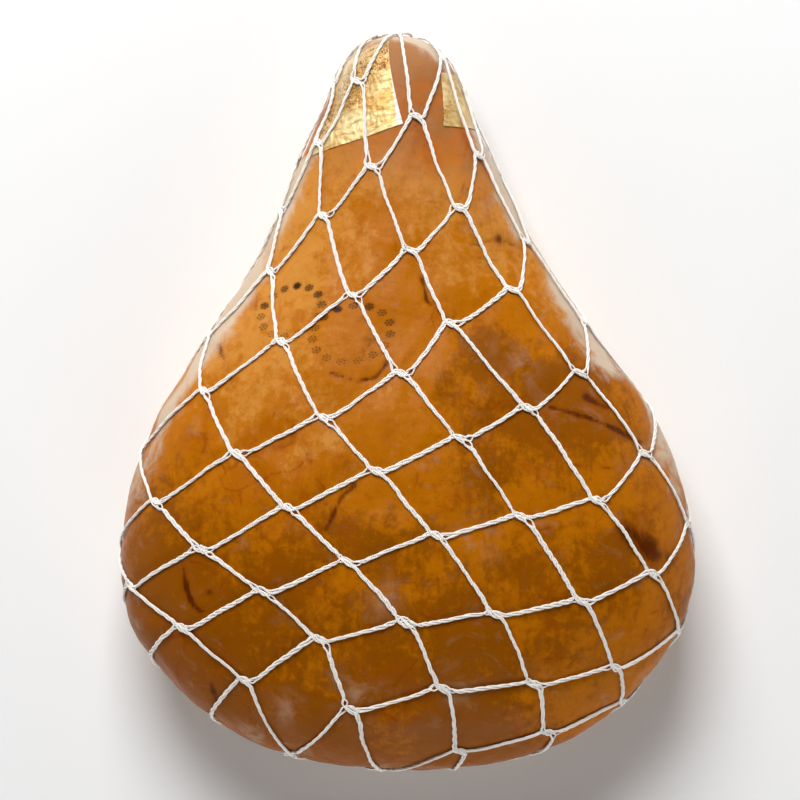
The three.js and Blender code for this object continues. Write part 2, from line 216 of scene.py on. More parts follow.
def make_piece(name: str, points: Array, faces: Sequence[Array], material: Material,
               attributes: dict[str, Array] | None = None, uv: Array | None = None) -> bpy.types.Object:
    """Makes a smooth-shaded mesh object at the origin.

    Args:
        name: the object's name.
        points: vertices in millimetres, shape (n, 3).
        faces: arrays of vertex numbers, each of shape (faces, corners).
        material: the finish of the whole piece.
        attributes: numbers or places per vertex, by name.
        uv: coordinates per vertex, shape (n, 2).

    Returns:
        The new object, linked to the scene.
    """
    mesh = bpy.data.meshes.new(name)
    corners = np.concatenate([part.ravel() for part in faces]).astype(np.int32)
    sizes = np.concatenate([np.full(len(part), part.shape[1]) for part in faces])
    starts = np.concatenate([[0], np.cumsum(sizes)[:-1]]).astype(np.int32)
    mesh.vertices.add(len(points))
    mesh.vertices.foreach_set("co", (points * MM).astype(np.float32).ravel())
    mesh.loops.add(len(corners))
    mesh.loops.foreach_set("vertex_index", corners)
    mesh.polygons.add(len(starts))
    mesh.polygons.foreach_set("loop_start", starts)
    mesh.polygons.foreach_set("use_smooth", np.ones(len(starts), bool))
    mesh.update(calc_edges=True)
    mesh.validate()
    for key, values in (attributes or {}).items():
        if values.ndim == 1:
            layer = mesh.attributes.new(key, "FLOAT", "POINT")
            layer.data.foreach_set("value", values.astype(np.float32))
        else:
            layer = mesh.attributes.new(key, "FLOAT_VECTOR", "POINT")
            layer.data.foreach_set("vector", values.astype(np.float32).ravel())
    if uv is not None:
        layer = mesh.uv_layers.new(name="UVMap")
        layer.data.foreach_set("uv", uv[corners].astype(np.float32).ravel())
    mesh.materials.append(material)
    piece = bpy.data.objects.new(name, mesh)
    bpy.context.scene.collection.objects.link(piece)
    return piece


def finish_piece(piece: bpy.types.Object, slot: Slot, *nodes: str) -> None:
    """Seats a piece on the body, hides the CAD nodes that it stands for, and logs it."""
    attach(piece, ROOT)
    if nodes:
        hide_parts(*nodes)
    LOG.info("%s: %d faces", piece.name, len(piece.data.polygons))


def tube(points: Array, side: Array, up: Array, radius: Array, sides: int) -> Mesh:
    """A closed tube: circles of the given radius about each point, with a fan over either end.

    Args:
        points: centre line, shape (n, 3).
        side: unit vectors across the line, shape (n, 3).
        up: unit vectors across the line, square to side, shape (n, 3).
        radius: radius at each point, shape (n,).
        sides: number of points in a circle.

    Returns:
        Vertices, face arrays, and UV per vertex as (distance along in millimetres, fraction round).
    """
    turn = np.arange(sides) / sides
    angle = TAU * turn
    ring = side[:, None] * np.cos(angle)[:, None] + up[:, None] * np.sin(angle)[:, None]
    skin = points[:, None] + ring * radius[:, None, None]
    vertices = np.concatenate([skin.reshape(-1, 3), points[:1], points[-1:]])
    length = running_length(points)
    uv = np.stack(np.broadcast_arrays(length[:, None], turn[None]), axis=-1).reshape(-1, 2)
    uv = np.concatenate([uv, [[0.0, 0.5], [length[-1], 0.5]]])
    return vertices, closed_rings(len(points), sides, False), uv


def laid_yarn(line: Array, outward: Array, across: Array, rise: Array, radius: Array, sides: int) -> Mesh:
    """A yarn that runs beside a line: line + side * across + up * rise, kept above the table.

    Args:
        line: evenly stepped middle of the strand, shape (n, 3).
        outward: unit vectors roughly square to the line, away from what it lies on.
        across: distance to the side at each step.
        rise: distance outwards at each step.
        radius: radius of the yarn at each step.
        sides: number of points round the yarn.

    Returns:
        Vertices, faces and UVs, as tube gives them.
    """
    ahead = unit(np.gradient(line, axis=0))
    side = unit(np.cross(ahead, outward))
    up = np.cross(side, ahead)
    centre = line + side * across[:, None] + up * rise[:, None]
    centre[:, 2] = np.maximum(centre[:, 2], FLOOR_CLEAR + radius)
    way = unit(np.gradient(centre, axis=0))
    own_side = unit(np.cross(way, up))
    return tube(centre, own_side, np.cross(own_side, way), radius, sides)


def merged(parts: Sequence[Mesh]) -> Mesh:
    """Joins meshes of the same kinds of face into one, with its vertices numbered on.

    Args:
        parts: vertices, face arrays and UVs of each mesh.

    Returns:
        The same three of the whole.
    """
    offsets = np.cumsum([0] + [len(vertices) for vertices, _, _ in parts[:-1]])
    vertices = np.concatenate([part[0] for part in parts])
    kinds = range(len(parts[0][1]))
    faces = [np.concatenate([part[1][k] + off for part, off in zip(parts, offsets)]) for k in kinds]
    return vertices, faces, np.concatenate([part[2] for part in parts])


# ---------------------------------------------------------------- the ham's skin


@dataclass
class Skin:
    """The smooth outside of the ham, as a table of places over (along, turn).

    Each cross-section is a superellipse, fuller below its widest level than above, and its size
    follows smooth curves through the stations. Heights below the floor are blended into a flat base.
    """

    # distance from the tip, half width, sideways offset, height of the widest level, top, base
    stations: tuple[tuple[float, ...], ...] = (
        (0, 0, -5, 42, 42, 42),
        (5, 17.5, -5, 42, 60, 27),
        (15, 28.5, -5, 42, 69, 19),
        (37, 38, -5, 42, 76, 13),
        (80, 56, -4.5, 43, 84, 5),
        (125, 79, -3.5, 44, 94, -3),
        (167, 106.5, -2, 46, 104, -7),
        (210, 134, -0.5, 48, 113, -9),
        (252, 150.5, 0, 50, 118, -9),
        (287, 155, 0, 51, 119, -9),
        (320, 148, 0, 52, 116, -8),
        (350, 128, 0, 52, 109, -4),
        (375, 100, 0.5, 52, 98, 7),
        (392, 60, 1, 52, 79, 24),
        (400, 0, 1.5, 52, 52, 52),
    )
    top_roundness: float = 2.15
    base_roundness: float = 2.7
    floor_blend: float = 3.0
    # height and breadth of the lumps, broad and small, and what is left of them underneath
    broad_lumps: tuple[float, float] = (1.3, 95.0)
    small_lumps: tuple[float, float] = (0.55, 34.0)
    lumps_under: float = 0.3
    rows: int = 720
    columns: int = 1024
    section_steps: int = 2048
    seed: int = 5
    length: float = field(init=False)
    crest_length: float = field(init=False)
    girths: Array = field(init=False)
    places: Array = field(init=False)
    normals: Array = field(init=False)

    def __post_init__(self) -> None:
        """Tabulates the skin at even steps of along and turn."""
        low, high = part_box("ham")
        self.length = (high.y - low.y) / MM
        angles = np.linspace(0.0, math.pi, self.rows)
        top = self._sections(angles, 3)[:, 1]
        crest = running_length(top)
        self.crest_length = float(crest[-1])
        even = np.linspace(0.0, self.crest_length, self.rows)
        sections = self._sections(np.interp(even, crest, angles), self.section_steps)
        steps = np.linalg.norm(np.diff(sections, axis=1), axis=2)
        round_ = np.concatenate([np.zeros((self.rows, 1)), np.cumsum(steps, axis=1)], axis=1)
        self.girths = round_[:, -1]
        wanted = np.linspace(0.0, 1.0, self.columns + 1)
        share = round_ / np.maximum(self.girths, 1e-9)[:, None]
        share[:, -1] = 1.0
        self.places = np.empty((self.rows, self.columns + 1, 3))
        for row in range(self.rows):
            for axis in range(3):
                self.places[row, :, axis] = np.interp(wanted, share[row], sections[row, :, axis])
        self.normals = self._normals()

    def _curve(self, angles: Array, column: Array, odd: bool) -> Array:
        """A cubic through one value per station, mirrored past the poles.

        Args:
            angles: where to read it; a station's angle is acos(1 - 2 distance / length).
            column: the value at each station.
            odd: whether the mirrored values change sign, as a width does.

        Returns:
            The value at each angle.
        """
        distance = np.array(self.stations)[:, 0]
        at = np.arccos(1.0 - 2.0 * distance / distance[-1])
        sign = -1.0 if odd else 1.0
        x = np.concatenate([-at[2:0:-1], at, TAU - at[-2:-4:-1]])
        y = np.concatenate([sign * column[2:0:-1], column, sign * column[-2:-4:-1]])
        gap = np.diff(x)
        rise = np.diff(y) / gap
        slope = np.zeros_like(y)
        slope[1:-1] = (rise[:-1] * gap[1:] + rise[1:] * gap[:-1]) / (gap[:-1] + gap[1:])
        k = np.clip(np.searchsorted(x, angles, side="right") - 1, 1, len(x) - 3)
        h = gap[k]
        q = (angles - x[k]) / h
        start = (1 + 2 * q) * (1 - q) ** 2 * y[k] + q * (1 - q) ** 2 * h * slope[k]
        return start + q * q * (3 - 2 * q) * y[k + 1] + q * q * (q - 1) * h * slope[k + 1]

    def _sections(self, angles: Array, steps: int) -> Array:
        """Cross-sections at the given angles.

        Args:
            angles: one per section, 0 at the tip and pi at the butt.
            steps: points in a section, from the middle of the underside round by -X and back.

        Returns:
            Places, shape (angles, steps, 3).
        """
        table = np.array(self.stations, float)
        half, offset, middle = (self._curve(angles, table[:, k], k == 1)[:, None] for k in (1, 2, 3))
        rise = self._curve(angles, table[:, 4] - table[:, 3], True)[:, None]
        drop = self._curve(angles, table[:, 3] - table[:, 5], True)[:, None]
        theta = TAU * np.linspace(0.0, 1.0, steps)[None]
        sideways, up = -np.sin(theta), -np.cos(theta)
        power = 2.0 / np.where(up > 0, self.top_roundness, self.base_roundness)
        x = offset + half * np.sign(sideways) * np.abs(sideways) ** power
        z = middle + np.where(up > 0, rise, drop) * np.sign(up) * np.abs(up) ** power
        blend = self.floor_blend
        z = np.where(z < blend, np.maximum(z + blend, 0.0) ** 2 / (4.0 * blend), z)
        y = np.broadcast_to(self.length / 2.0 * np.cos(angles)[:, None], x.shape)
        return np.stack([x, y, z], axis=-1)

    def _normals(self) -> Array:
        """Outward normals of the table: lengthwise slope crossed with slope round the girth."""
        lengthwise = np.gradient(self.places, axis=0)
        wrapped = np.concatenate([self.places[:, -2:-1], self.places, self.places[:, 1:2]], axis=1)
        normals = unit(np.cross(lengthwise, wrapped[:, 2:] - wrapped[:, :-2]))
        normals[:2] = (0.0, 1.0, 0.0)
        normals[-2:] = (0.0, -1.0, 0.0)
        return normals

    def _read(self, table: Array, turn: Array, along: Array) -> Array:
        """Reads a table by straight lines between its four nearest entries."""
        row = np.clip(along / self.crest_length, 0.0, 1.0) * (self.rows - 1)
        column = np.mod(turn, 1.0) * self.columns
        i = np.minimum(row.astype(int), self.rows - 2)
        j = np.minimum(column.astype(int), self.columns - 1)
        p, q = (row - i)[..., None], (column - j)[..., None]
        near = table[i, j] * (1 - q) + table[i, j + 1] * q
        far = table[i + 1, j] * (1 - q) + table[i + 1, j + 1] * q
        return near * (1 - p) + far * p

    def place(self, turn: Array, along: Array) -> Array:
        """Places on the skin, in millimetres."""
        return self._read(self.places, turn, along)

    def normal(self, turn: Array, along: Array) -> Array:
        """Outward unit normals of the skin."""
        return unit(self._read(self.normals, turn, along))

    def girth(self, along: Array) -> Array:
        """Girth of the ham at a distance along it."""
        return np.interp(along, np.linspace(0.0, self.crest_length, self.rows), self.girths)

    def lumps(self, points: Array, normals: Array) -> Array:
        """Height of the broad lumps of the flesh, which lift the net and the labels with them."""
        (broad, broad_scale), (small, small_scale) = self.broad_lumps, self.small_lumps
        swell = broad * Ripple(broad_scale, self.seed)(points)
        swell = swell + small * Ripple(small_scale, self.seed + 1)(points)
        return swell * (self.lumps_under + (1.0 - self.lumps_under) * facing_up(normals))


# ---------------------------------------------------------------- the net's lattice


@dataclass(frozen=True)
class Gather:
    """Where the net is drawn together, and the way its neck points.

    drop is how far below a pole of the ham the gather lies, and spread how far from the pole the
    net still moves with it.
    """

    drop: float
    spread: float
    way: tuple[float, float, float]


@dataclass
class Lattice:
    """The places of the net's knots and strands on the skin.

    A leg of fixed length spans half a mesh's width and one row, so the rows are low where the girth
    is wide. Rows lean and are tugged here and there, and both ends are displaced to the gathers.
    """

    skin: Skin
    meshes: int = 9
    leg: float = 45.0
    least_row: float = 6.0
    top_column: float = 9.0
    middle_row: float = 7.5
    phase: float = 0.02
    spread: float = 0.33
    twist: float = -0.17
    side_lean: float = 21.0
    crown_lean: float = -9.0
    knot_run: float = 6.0
    knot_tilt: float = 0.4
    widest_girth: float = 700.0
    tug_fade: float = 0.25
    gather_radius: float = 8.5
    least_end: float = 0.3
    # column, row, reach in rows, pull round the ham at its widest, pull towards the butt
    tugs: tuple[tuple[float, ...], ...] = (
        (12, 10, 2.6, 40, 45),
        (5, 5, 2.6, -35, -25),
        (6, 2, 2.2, -55, -15),
        (9, 8, 2.2, 0, -20),
        (6, 10, 2.4, -5, 15),
        (8, 4, 2.2, 15, 0),
        (11, 4, 2.4, 10, -5),
        (8, 14, 2.6, 35, -25),
        (7.4, 6.6, 1.0, 2, 10),
        (9, 5, 0.8, -14, -5),
        (11, 7, 0.9, 0, 7),
        (9, 13, 0.9, -9, 0),
    )
    shank: Gather = Gather(22.0, 55.0, (0.0, 0.301, -0.954))
    butt: Gather = Gather(45.0, 95.0, (0.0, -0.882, -0.471))
    rows: Array = field(init=False)
    alongs: Array = field(init=False)

    def __post_init__(self) -> None:
        """Counts the rows of the net along the ham."""
        self.alongs = np.linspace(0.0, self.skin.crest_length, self.skin.rows)
        half_mesh = self.skin.girth(self.alongs) / (2.0 * self.meshes)
        height = np.sqrt(np.maximum(self.leg ** 2 - half_mesh ** 2, self.least_row ** 2))
        steps = np.diff(self.alongs) / 2.0 * (1.0 / height[1:] + 1.0 / height[:-1])
        self.rows = np.concatenate([[0.0], np.cumsum(steps)])

    def place(self, row: Array, column: Array) -> tuple[Array, Array]:
        """Turn and along of lattice points, before the ends are displaced.

        Args:
            row: row numbers from the shank.
            column: column numbers round the ham; neighbouring knots of a row are two apart.

        Returns:
            Turns and alongs.
        """
        start = np.interp(row, self.rows, self.alongs)
        ends = np.maximum(np.sin(math.pi * start / self.skin.crest_length), 0.0)
        about = (column - self.top_column) / (2.0 * self.meshes)
        turn = 0.5 + about - self.spread * np.sin(TAU * about) / TAU
        turn = turn + self.phase + self.twist * (row - self.middle_row) / self.meshes
        theta = TAU * (turn - 0.5)
        lean = self.side_lean * np.sin(theta) + self.crown_lean * np.cos(theta)
        along = start + np.sqrt(ends) * lean
        for tug_column, tug_row, reach, pull_round, pull_along in self.tugs:
            across = np.mod(column - tug_column + self.meshes, 2 * self.meshes) - self.meshes
            near = np.exp(-(across ** 2 + (row - tug_row) ** 2) / (2.0 * reach ** 2))
            share = near * np.minimum(1.0, ends / self.tug_fade)
            along = along + pull_along * share
            turn = turn + pull_round / self.widest_girth * share
        return turn, along

    def displaced(self, turn: Array, along: Array) -> tuple[Array, Array]:
        """Moves places towards the gathers, in the flat maps centred on the two poles."""
        total = self.skin.crest_length
        radius, theta = self._towards(total - along, TAU * (turn - 0.5), self.butt)
        radius, theta = self._towards(total - radius, theta, self.shank)
        return 0.5 + theta / TAU, radius

    @staticmethod
    def _towards(radius: Array, theta: Array, gather: Gather) -> tuple[Array, Array]:
        """Drops a place in the flat map of one pole, less the further it is from the pole."""
        x = radius * np.sin(theta)
        y = radius * np.cos(theta) - gather.drop * np.exp(-((radius / gather.spread) ** 2))
        return np.hypot(x, y), np.arctan2(x, y)

    def corners(self, index: int, lean: int) -> Array:
        """Corners of one strand from the shank's gather to the butt's.

        Args:
            index: which strand of its lean.
            lean: 1 for a strand that moves on a column with each row, -1 for one that moves back.

        Returns:
            (turn, along) before displacement, two for each knot, shape (corners, 2).
        """
        total = self.rows[-1]
        row = np.arange(1.0, total - self.least_end)
        first = 2.0 * index
        turn, along = self.place(row, first + lean * row)
        run = self.knot_run / 2.0 * np.minimum(1.0, np.minimum(row, total - row) / 2.0)
        wide = np.maximum(self.skin.girth(along), 4.0 * self.leg)
        step = np.stack([run * math.cos(self.knot_tilt) / wide, run * math.sin(self.knot_tilt)], axis=1)
        knots = np.stack([turn, along], axis=1)
        pairs = np.stack([knots - lean * step, knots + lean * step], axis=1).reshape(-1, 2)
        start = self.place(np.array(0.0), np.array(first))[0]
        end = self.place(np.array(total), np.array(first + lean * total))[0]
        ends = [[float(start), self.gather_radius], [float(end), self.skin.crest_length - self.gather_radius]]
        return np.concatenate([ends[:1], pairs, ends[1:]])


# ---------------------------------------------------------------- the net


@dataclass
class StrandPath:
    """An evenly stepped strand: its middle, and what its yarns need at each step.

    outward points away from what the strand lies on, corner counts the lattice's corners passed,
    knots are the distances of its knots along it, squeeze is 1 on the ham and less in a neck, and
    press is how far it sinks into the rind.
    """

    points: Array
    outward: Array
    corner: Array
    knots: Array
    squeeze: Array
    press: Array


@dataclass(frozen=True)
class Neck:
    """A strand's way out of a gather: packed together through the tie, then flared to its cut end."""

    gather_step: float = 2.5
    gather_radius: float = 5.2
    packed_radius: float = 2.9
    tie_start: float = 6.0
    tie_end: float = 12.0
    flare: float = 1.9
    shortest: float = 14.5
    longest: float = 18.0
    end_flare: float = 1.25
    squeeze: float = 0.6
    step: float = 1.0

    def route(self, start: Array, way: Array, edge: Array, rank: float,
              reach: float) -> tuple[Array, Array]:
        """The middle of one strand from its cut end back to the skin.

        Args:
            start: the middle of the gather on the skin.
            way: the neck's direction.
            edge: where the strand leaves the skin.
            rank: 0 to 1; the strand's place in the bundle, from its middle to its outside.
            reach: 0 to 1; how long the cut end is.

        Returns:
            Points and outward vectors, evenly stepped.
        """
        out = edge - start
        out = unit(out - way * (out @ way))
        packed = self.packed_radius * math.sqrt(rank)
        tip = self.shortest + (self.longest - self.shortest) * reach
        tie_middle = (self.tie_start + self.tie_end) / 2.0
        plan = [(packed * self.flare, tip), (packed * self.end_flare, self.tie_end),
                (packed, tie_middle), (packed, self.tie_start), (self.gather_radius, self.gather_step)]
        places = np.array([start + out * radius + way * distance for radius, distance in plan] + [edge])
        points = flowing(places, self.step)[:-1]
        turned = smoothstep(self.tie_start, self.gather_step, (points - start) @ way)[:, None]
        return points, unit(out * (1.0 - turned) + way * turned)


@dataclass
class Net:
    """The tubular net: strands of three yarns that touch at the knots and open into eyelets beside them.

    Across a strand a yarn follows half_width * sin(phase) and through it half_height * cos(phase),
    a third of a turn from the next yarn. In an eyelet the yarns leave their twist and stand apart.
    """

    skin: Skin
    lattice: Lattice
    neck: Neck = Neck()
    step: float = 0.95
    plies: int = 3
    pitch: float = 19.0
    pitch_change: float = 0.35
    pitch_scale: float = 60.0
    half_width: float = 0.76
    half_height: float = 0.3
    yarn_radius: float = 0.55
    yarn_sides: int = 6
    height: float = 0.75
    label_rise: float = 0.85
    labelled_length: float = 95.0
    label_blend: float = 14.0
    knot_reach: float = 4.6
    knot_offset: float = 0.85
    knot_lift: float = 0.3
    knot_widening: float = 0.15
    wander: float = 0.28
    wander_scale: float = 26.0
    widths: tuple[float, float] = (0.66, 1.3)
    leg_width: float = 0.82
    # share of a yarn's radius that follows the strand's width, and what an eyelet takes from it
    soft_share: float = 0.45
    eyelet_thinning: float = 0.22
    slub: float = 0.1
    slub_scale: float = 7.0
    eyelet_share: float = 0.62
    eyelet_size: tuple[float, float] = (0.8, 1.7)
    eyelet_place: tuple[float, float] = (3.4, 5.4)
    eyelet_reach: float = 2.3
    eyelet_sides: tuple[float, ...] = (-1.0, 1.0, 0.7)
    gather_blend: float = 26.0
    leg_steps: int = 60
    corner_rounding: int = 5
    strands_per_piece: int = 6
    seed: int = 11
    paths: list[StrandPath] = field(init=False)

    def __post_init__(self) -> None:
        """Lays every strand on the skin."""
        rng = np.random.default_rng(self.seed)
        strands = 2 * self.lattice.meshes
        ranks = [(rng.permutation(strands) + 0.5) / strands for _ in range(2)]
        self.paths = []
        for number in range(strands):
            lean = 1 if number < self.lattice.meshes else -1
            reach = rng.uniform(size=2)
            ends = [(ranks[0][number], reach[0]), (ranks[1][number], reach[1])]
            self.paths.append(self._lay(number % self.lattice.meshes, lean, ends))

    def neck_start(self, gather: Gather) -> Array:
        """The middle of a gather on the skin."""
        at_shank = gather is self.lattice.shank
        along = gather.drop if at_shank else self.skin.crest_length - gather.drop
        return self.skin.place(np.array(0.0), np.array(along))

    def _lay(self, index: int, lean: int, ends: list[tuple[float, float]]) -> StrandPath:
        """Lays one strand: straight legs between its corners, a little rounded, and two necks.

        Args:
            index: which strand of its lean.
            lean: 1 or -1.
            ends: rank and reach of its two cut ends.

        Returns:
            The strand.
        """
        corners = self.lattice.corners(index, lean)
        count = len(corners)
        fine = np.linspace(0.0, count - 1, (count - 1) * self.leg_steps + 1)
        turn = np.interp(fine, np.arange(count), corners[:, 0])
        along = np.interp(fine, np.arange(count), corners[:, 1])
        turn, along = self.lattice.displaced(turn, along)
        skin = self.skin.place(turn, along)
        outward = self.skin.normal(turn, along)
        labelled = smoothstep(self.label_blend, -self.label_blend, along - self.labelled_length)
        height = self.height + self.label_rise * labelled
        reach = self.half_height + self.yarn_radius
        middle = skin + outward * (height + self.skin.lumps(skin, outward))[:, None]
        lift = np.maximum(0.0, FLOOR_CLEAR + reach - middle[:, 2])
        middle[:, 2] += lift
        press = reach - height + lift * np.maximum(-outward[:, 2], 0.0)
        gathers = (self.lattice.shank, self.lattice.butt)
        routes = []
        for gather, edge, (rank, cut) in zip(gathers, (middle[0], middle[-1]), ends):
            way = unit(np.array(gather.way))
            routes.append(self.neck.route(self.neck_start(gather), way, edge, rank, cut))
        (first, first_out), (last, last_out) = routes
        raw = np.concatenate([first, middle, last[::-1]])
        length = running_length(raw)
        begin, end = length[len(first)], length[len(first) + len(middle) - 1]
        even = np.arange(0.0, length[-1], self.step)
        columns = np.concatenate([
            raw,
            np.concatenate([first_out, outward, last_out[::-1]]),
            np.concatenate([np.zeros(len(first)), fine, np.full(len(last), count - 1.0)])[:, None],
            np.concatenate([np.zeros(len(first)), press, np.zeros(len(last))])[:, None],
        ], axis=1)
        even_columns = np.stack([np.interp(even, length, column) for column in columns.T], axis=1)
        points = even_columns[:, :3]
        pad = self.corner_rounding // 2
        window = np.ones(self.corner_rounding) / self.corner_rounding
        for k in range(3):
            points[:, k] = np.convolve(np.pad(points[:, k], pad, mode="edge"), window, mode="valid")
        on_ham = np.minimum(even - begin, end - even)
        squeeze = self.neck.squeeze + (1.0 - self.neck.squeeze) * smoothstep(0.0, self.gather_blend, on_ham)
        knots = np.interp(np.arange(1.5, count - 2, 2.0), fine, length[len(first):len(first) + len(middle)])
        return StrandPath(points=points, outward=unit(even_columns[:, 3:6]), corner=even_columns[:, 6],
                          knots=knots, squeeze=squeeze, press=even_columns[:, 7])

    def _widths(self, path: StrandPath, rng: np.random.Generator) -> Array:
        """Relative width of the strand: random, less in the middles of the legs and in the necks."""
        marks = np.arange(0.0, path.corner[-1] + 0.5, 0.5)
        values = rng.uniform(*self.widths, len(marks))
        middles = np.mod(marks, 2.0) == 0.5
        values[middles] *= self.leg_width
        return np.interp(path.corner, marks, values) * path.squeeze

    def _openings(self, path: StrandPath, distance: Array, rng: np.random.Generator) -> Array:
        """How far the yarns stand apart in the eyelets before and after the knots."""
        opened = np.zeros(len(distance))
        for side in (-1.0, 1.0):
            size = rng.uniform(*self.eyelet_size, len(path.knots))
            size = size * (rng.uniform(size=len(path.knots)) < self.eyelet_share)
            place = side * rng.uniform(*self.eyelet_place, len(path.knots))
            away = distance[:, None] - (path.knots + place)[None]
            opened += (size * bell(away, self.eyelet_reach)).sum(axis=1)
        return opened * path.squeeze ** 3

    def yarns(self, path: StrandPath, number: int) -> list[Mesh]:
        """The twisted yarns of one strand.

        Args:
            path: the strand.
            number: which strand it is.

        Returns:
            Vertices, faces and UVs of each yarn.
        """
        rng = np.random.default_rng([self.seed, number])
        lean = 1.0 if number < self.lattice.meshes else -1.0
        distance = np.arange(len(path.points)) * self.step
        wide = self._widths(path, rng)
        near = bell(np.abs(distance[:, None] - path.knots[None]).min(axis=1), self.knot_reach)
        stray = self.wander * Ripple(self.wander_scale, self.seed + number)(distance[:, None])
        stray = stray * path.squeeze
        twist = Ripple(self.pitch_scale, self.seed + 50 + number)(distance[:, None])
        pitch = self.pitch * (1.0 + self.pitch_change * twist)
        turns = np.cumsum(self.step / pitch) + rng.uniform()
        opened = self._openings(path, distance, rng)
        closed = 1.0 - np.minimum(opened / self.eyelet_size[1], 1.0)
        parts = []
        for ply, way in enumerate(self.eyelet_sides):
            phase = TAU * (turns + ply / self.plies)
            across = self.half_width * wide * (1.0 + self.knot_widening * near) * closed * np.sin(phase)
            across = across + self.knot_offset * near + stray + way * opened
            rise = self.half_height * path.squeeze * np.cos(phase)
            rise = rise + self.knot_lift * near * lean
            uneven = Ripple(self.slub_scale, self.seed + 100 + 3 * number + ply)(distance[:, None])
            thinned = 1.0 - self.eyelet_thinning + self.eyelet_thinning * closed
            radius = self.yarn_radius * (1.0 - self.soft_share + self.soft_share * wide)
            radius = radius * (1.0 + self.slub * uneven) * thinned
            parts.append(laid_yarn(path.points, path.outward, across, rise, radius, self.yarn_sides))
        return parts

    def build(self, material: Material) -> None:
        """Makes the net's pieces, a few strands in each."""
        for first in range(0, len(self.paths), self.strands_per_piece):
            numbers = range(first, min(first + self.strands_per_piece, len(self.paths)))
            parts = [yarn for number in numbers for yarn in self.yarns(self.paths[number], number)]
            points, faces, uv = merged(parts)
            name = f"net_strands_{first // self.strands_per_piece + 1}"
            finish_piece(make_piece(name, points, faces, material, uv=uv), Slot.NET, "net")

    def nearest(self, places: Array) -> tuple[Array, Array]:
        """Distance from each place to the nearest strand's middle, and how far that strand presses in.

        Args:
            places: places near the skin, shape (n, 3), in an order that keeps neighbours together.

        Returns:
            Distances and depths, each of shape (n,).
        """
        strands = np.concatenate([path.points for path in self.paths])
        press = np.concatenate([path.press for path in self.paths])
        distance = np.empty(len(places))
        depth = np.empty(len(places))
        block_size, margin = 2000, 18.0
        for start in range(0, len(places), block_size):
            block = places[start:start + block_size]
            low, high = block[:, 1].min() - margin, block[:, 1].max() + margin
            chosen = (strands[:, 1] > low) & (strands[:, 1] < high)
            near = strands[chosen]
            square = (block ** 2).sum(1)[:, None] + (near ** 2).sum(1)[None] - 2.0 * block @ near.T
            best = np.argmin(square, axis=1)
            part = slice(start, start + len(block))
            distance[part] = np.sqrt(np.maximum(square[np.arange(len(block)), best], 0.0))
            depth[part] = press[chosen][best]
        return np.sqrt(np.maximum(distance ** 2 - self.height ** 2, 0.0)), depth


@dataclass(frozen=True)
class Tie:
    """Turns of two-ply twine round a neck, with a bound crossing and two short tails.

    The coil is a helix about the neck; both tails cross at its knot, which a small ring of the same
    twine binds.
    """

    name: str
    node: str
    start: Array
    way: Array
    outside: Array
    turns: float = 3.0
    coil_radius: float = 4.3
    coil_start: float = 7.7
    coil_pitch: float = 1.35
    ply_offset: float = 0.32
    ply_radius: float = 0.4
    ply_pitch: float = 4.2
    # what the coil leaves open at the knot, as an angle
    opening: float = 0.12
    # distance out from the coil, across it, and up from its middle
    near_tail: tuple[tuple[float, float, float], ...] = (
        (7.0, -4.0, -0.5), (4.4, -3.0, -0.4), (1.6, -1.6, 0.0),
    )
    far_tail: tuple[tuple[float, float, float], ...] = ((1.8, 1.6, 0.0), (4.4, 2.8, 0.8), (6.4, 4.4, 2.0))
    binding_turns: float = 1.9
    binding_radii: tuple[float, float] = (1.5, 1.7)
    binding_gap: float = 1.5
    binding_pitch: float = 0.5
    step: float = 0.5
    sides: int = 8

    def _frame(self) -> tuple[Array, Array]:
        """Two unit vectors across the neck, the first towards the knot."""
        towards = unit(self.outside - self.way * (self.outside @ self.way))
        return towards, np.cross(self.way, towards)

    def _twine(self, line: Array, outward: Array) -> list[Mesh]:
        """Two plies twisted about a line."""
        distance = running_length(line)
        parts = []
        for ply in range(2):
            phase = TAU * (distance / self.ply_pitch + ply / 2.0)
            radius = np.full(len(line), self.ply_radius)
            across, rise = self.ply_offset * np.sin(phase), self.ply_offset * np.cos(phase)
            parts.append(laid_yarn(line, outward, across, rise, radius, self.sides))
        return parts

    def build(self, material: Material) -> None:
        """Makes the coil with its tails and the binding, as one piece."""
        out, across = self._frame()
        angle = np.linspace(self.opening, TAU * self.turns - self.opening, int(self.turns * 24))
        middle = self.coil_start + self.coil_pitch * self.turns / 2.0
        radius = self.coil_radius
        coil = np.stack([radius * np.cos(angle), radius * np.sin(angle),
                         self.coil_start + self.coil_pitch * angle / TAU], axis=1)
        knot = np.array([radius, 0.0, middle])
        plan = np.concatenate([knot + np.array(self.near_tail), coil, knot + np.array(self.far_tail)])
        turn = np.linspace(0.0, TAU * self.binding_turns, 30)
        wide, high = self.binding_radii
        ring = np.stack([radius + self.binding_gap + self.binding_pitch * turn / TAU,
                         wide * np.cos(turn), middle + high * np.sin(turn)], axis=1)
        parts = []
        for route in (plan, ring):
            line = flowing(self.start + route @ np.stack([out, across, self.way]), self.step)
            away = line - self.start
            outward = unit(away - (away @ self.way)[:, None] * self.way)
            parts += self._twine(line, outward if route is plan else np.broadcast_to(out, line.shape))
        points, faces, uv = merged(parts)
        finish_piece(make_piece(self.name, points, faces, material, uv=uv), Slot.TWINE, self.node)


# ---------------------------------------------------------------- finishes


def linear(red: int, green: int, blue: int) -> tuple[float, ...]:
    """Turns a display colour of 0 to 255 into scene-linear red, green, blue and alpha."""
    levels = [value / 255.0 for value in (red, green, blue)]
    lin = [v / 12.92 if v <= 0.04045 else ((v + 0.055) / 1.055) ** 2.4 for v in levels]
    return (lin[0], lin[1], lin[2], 1.0)


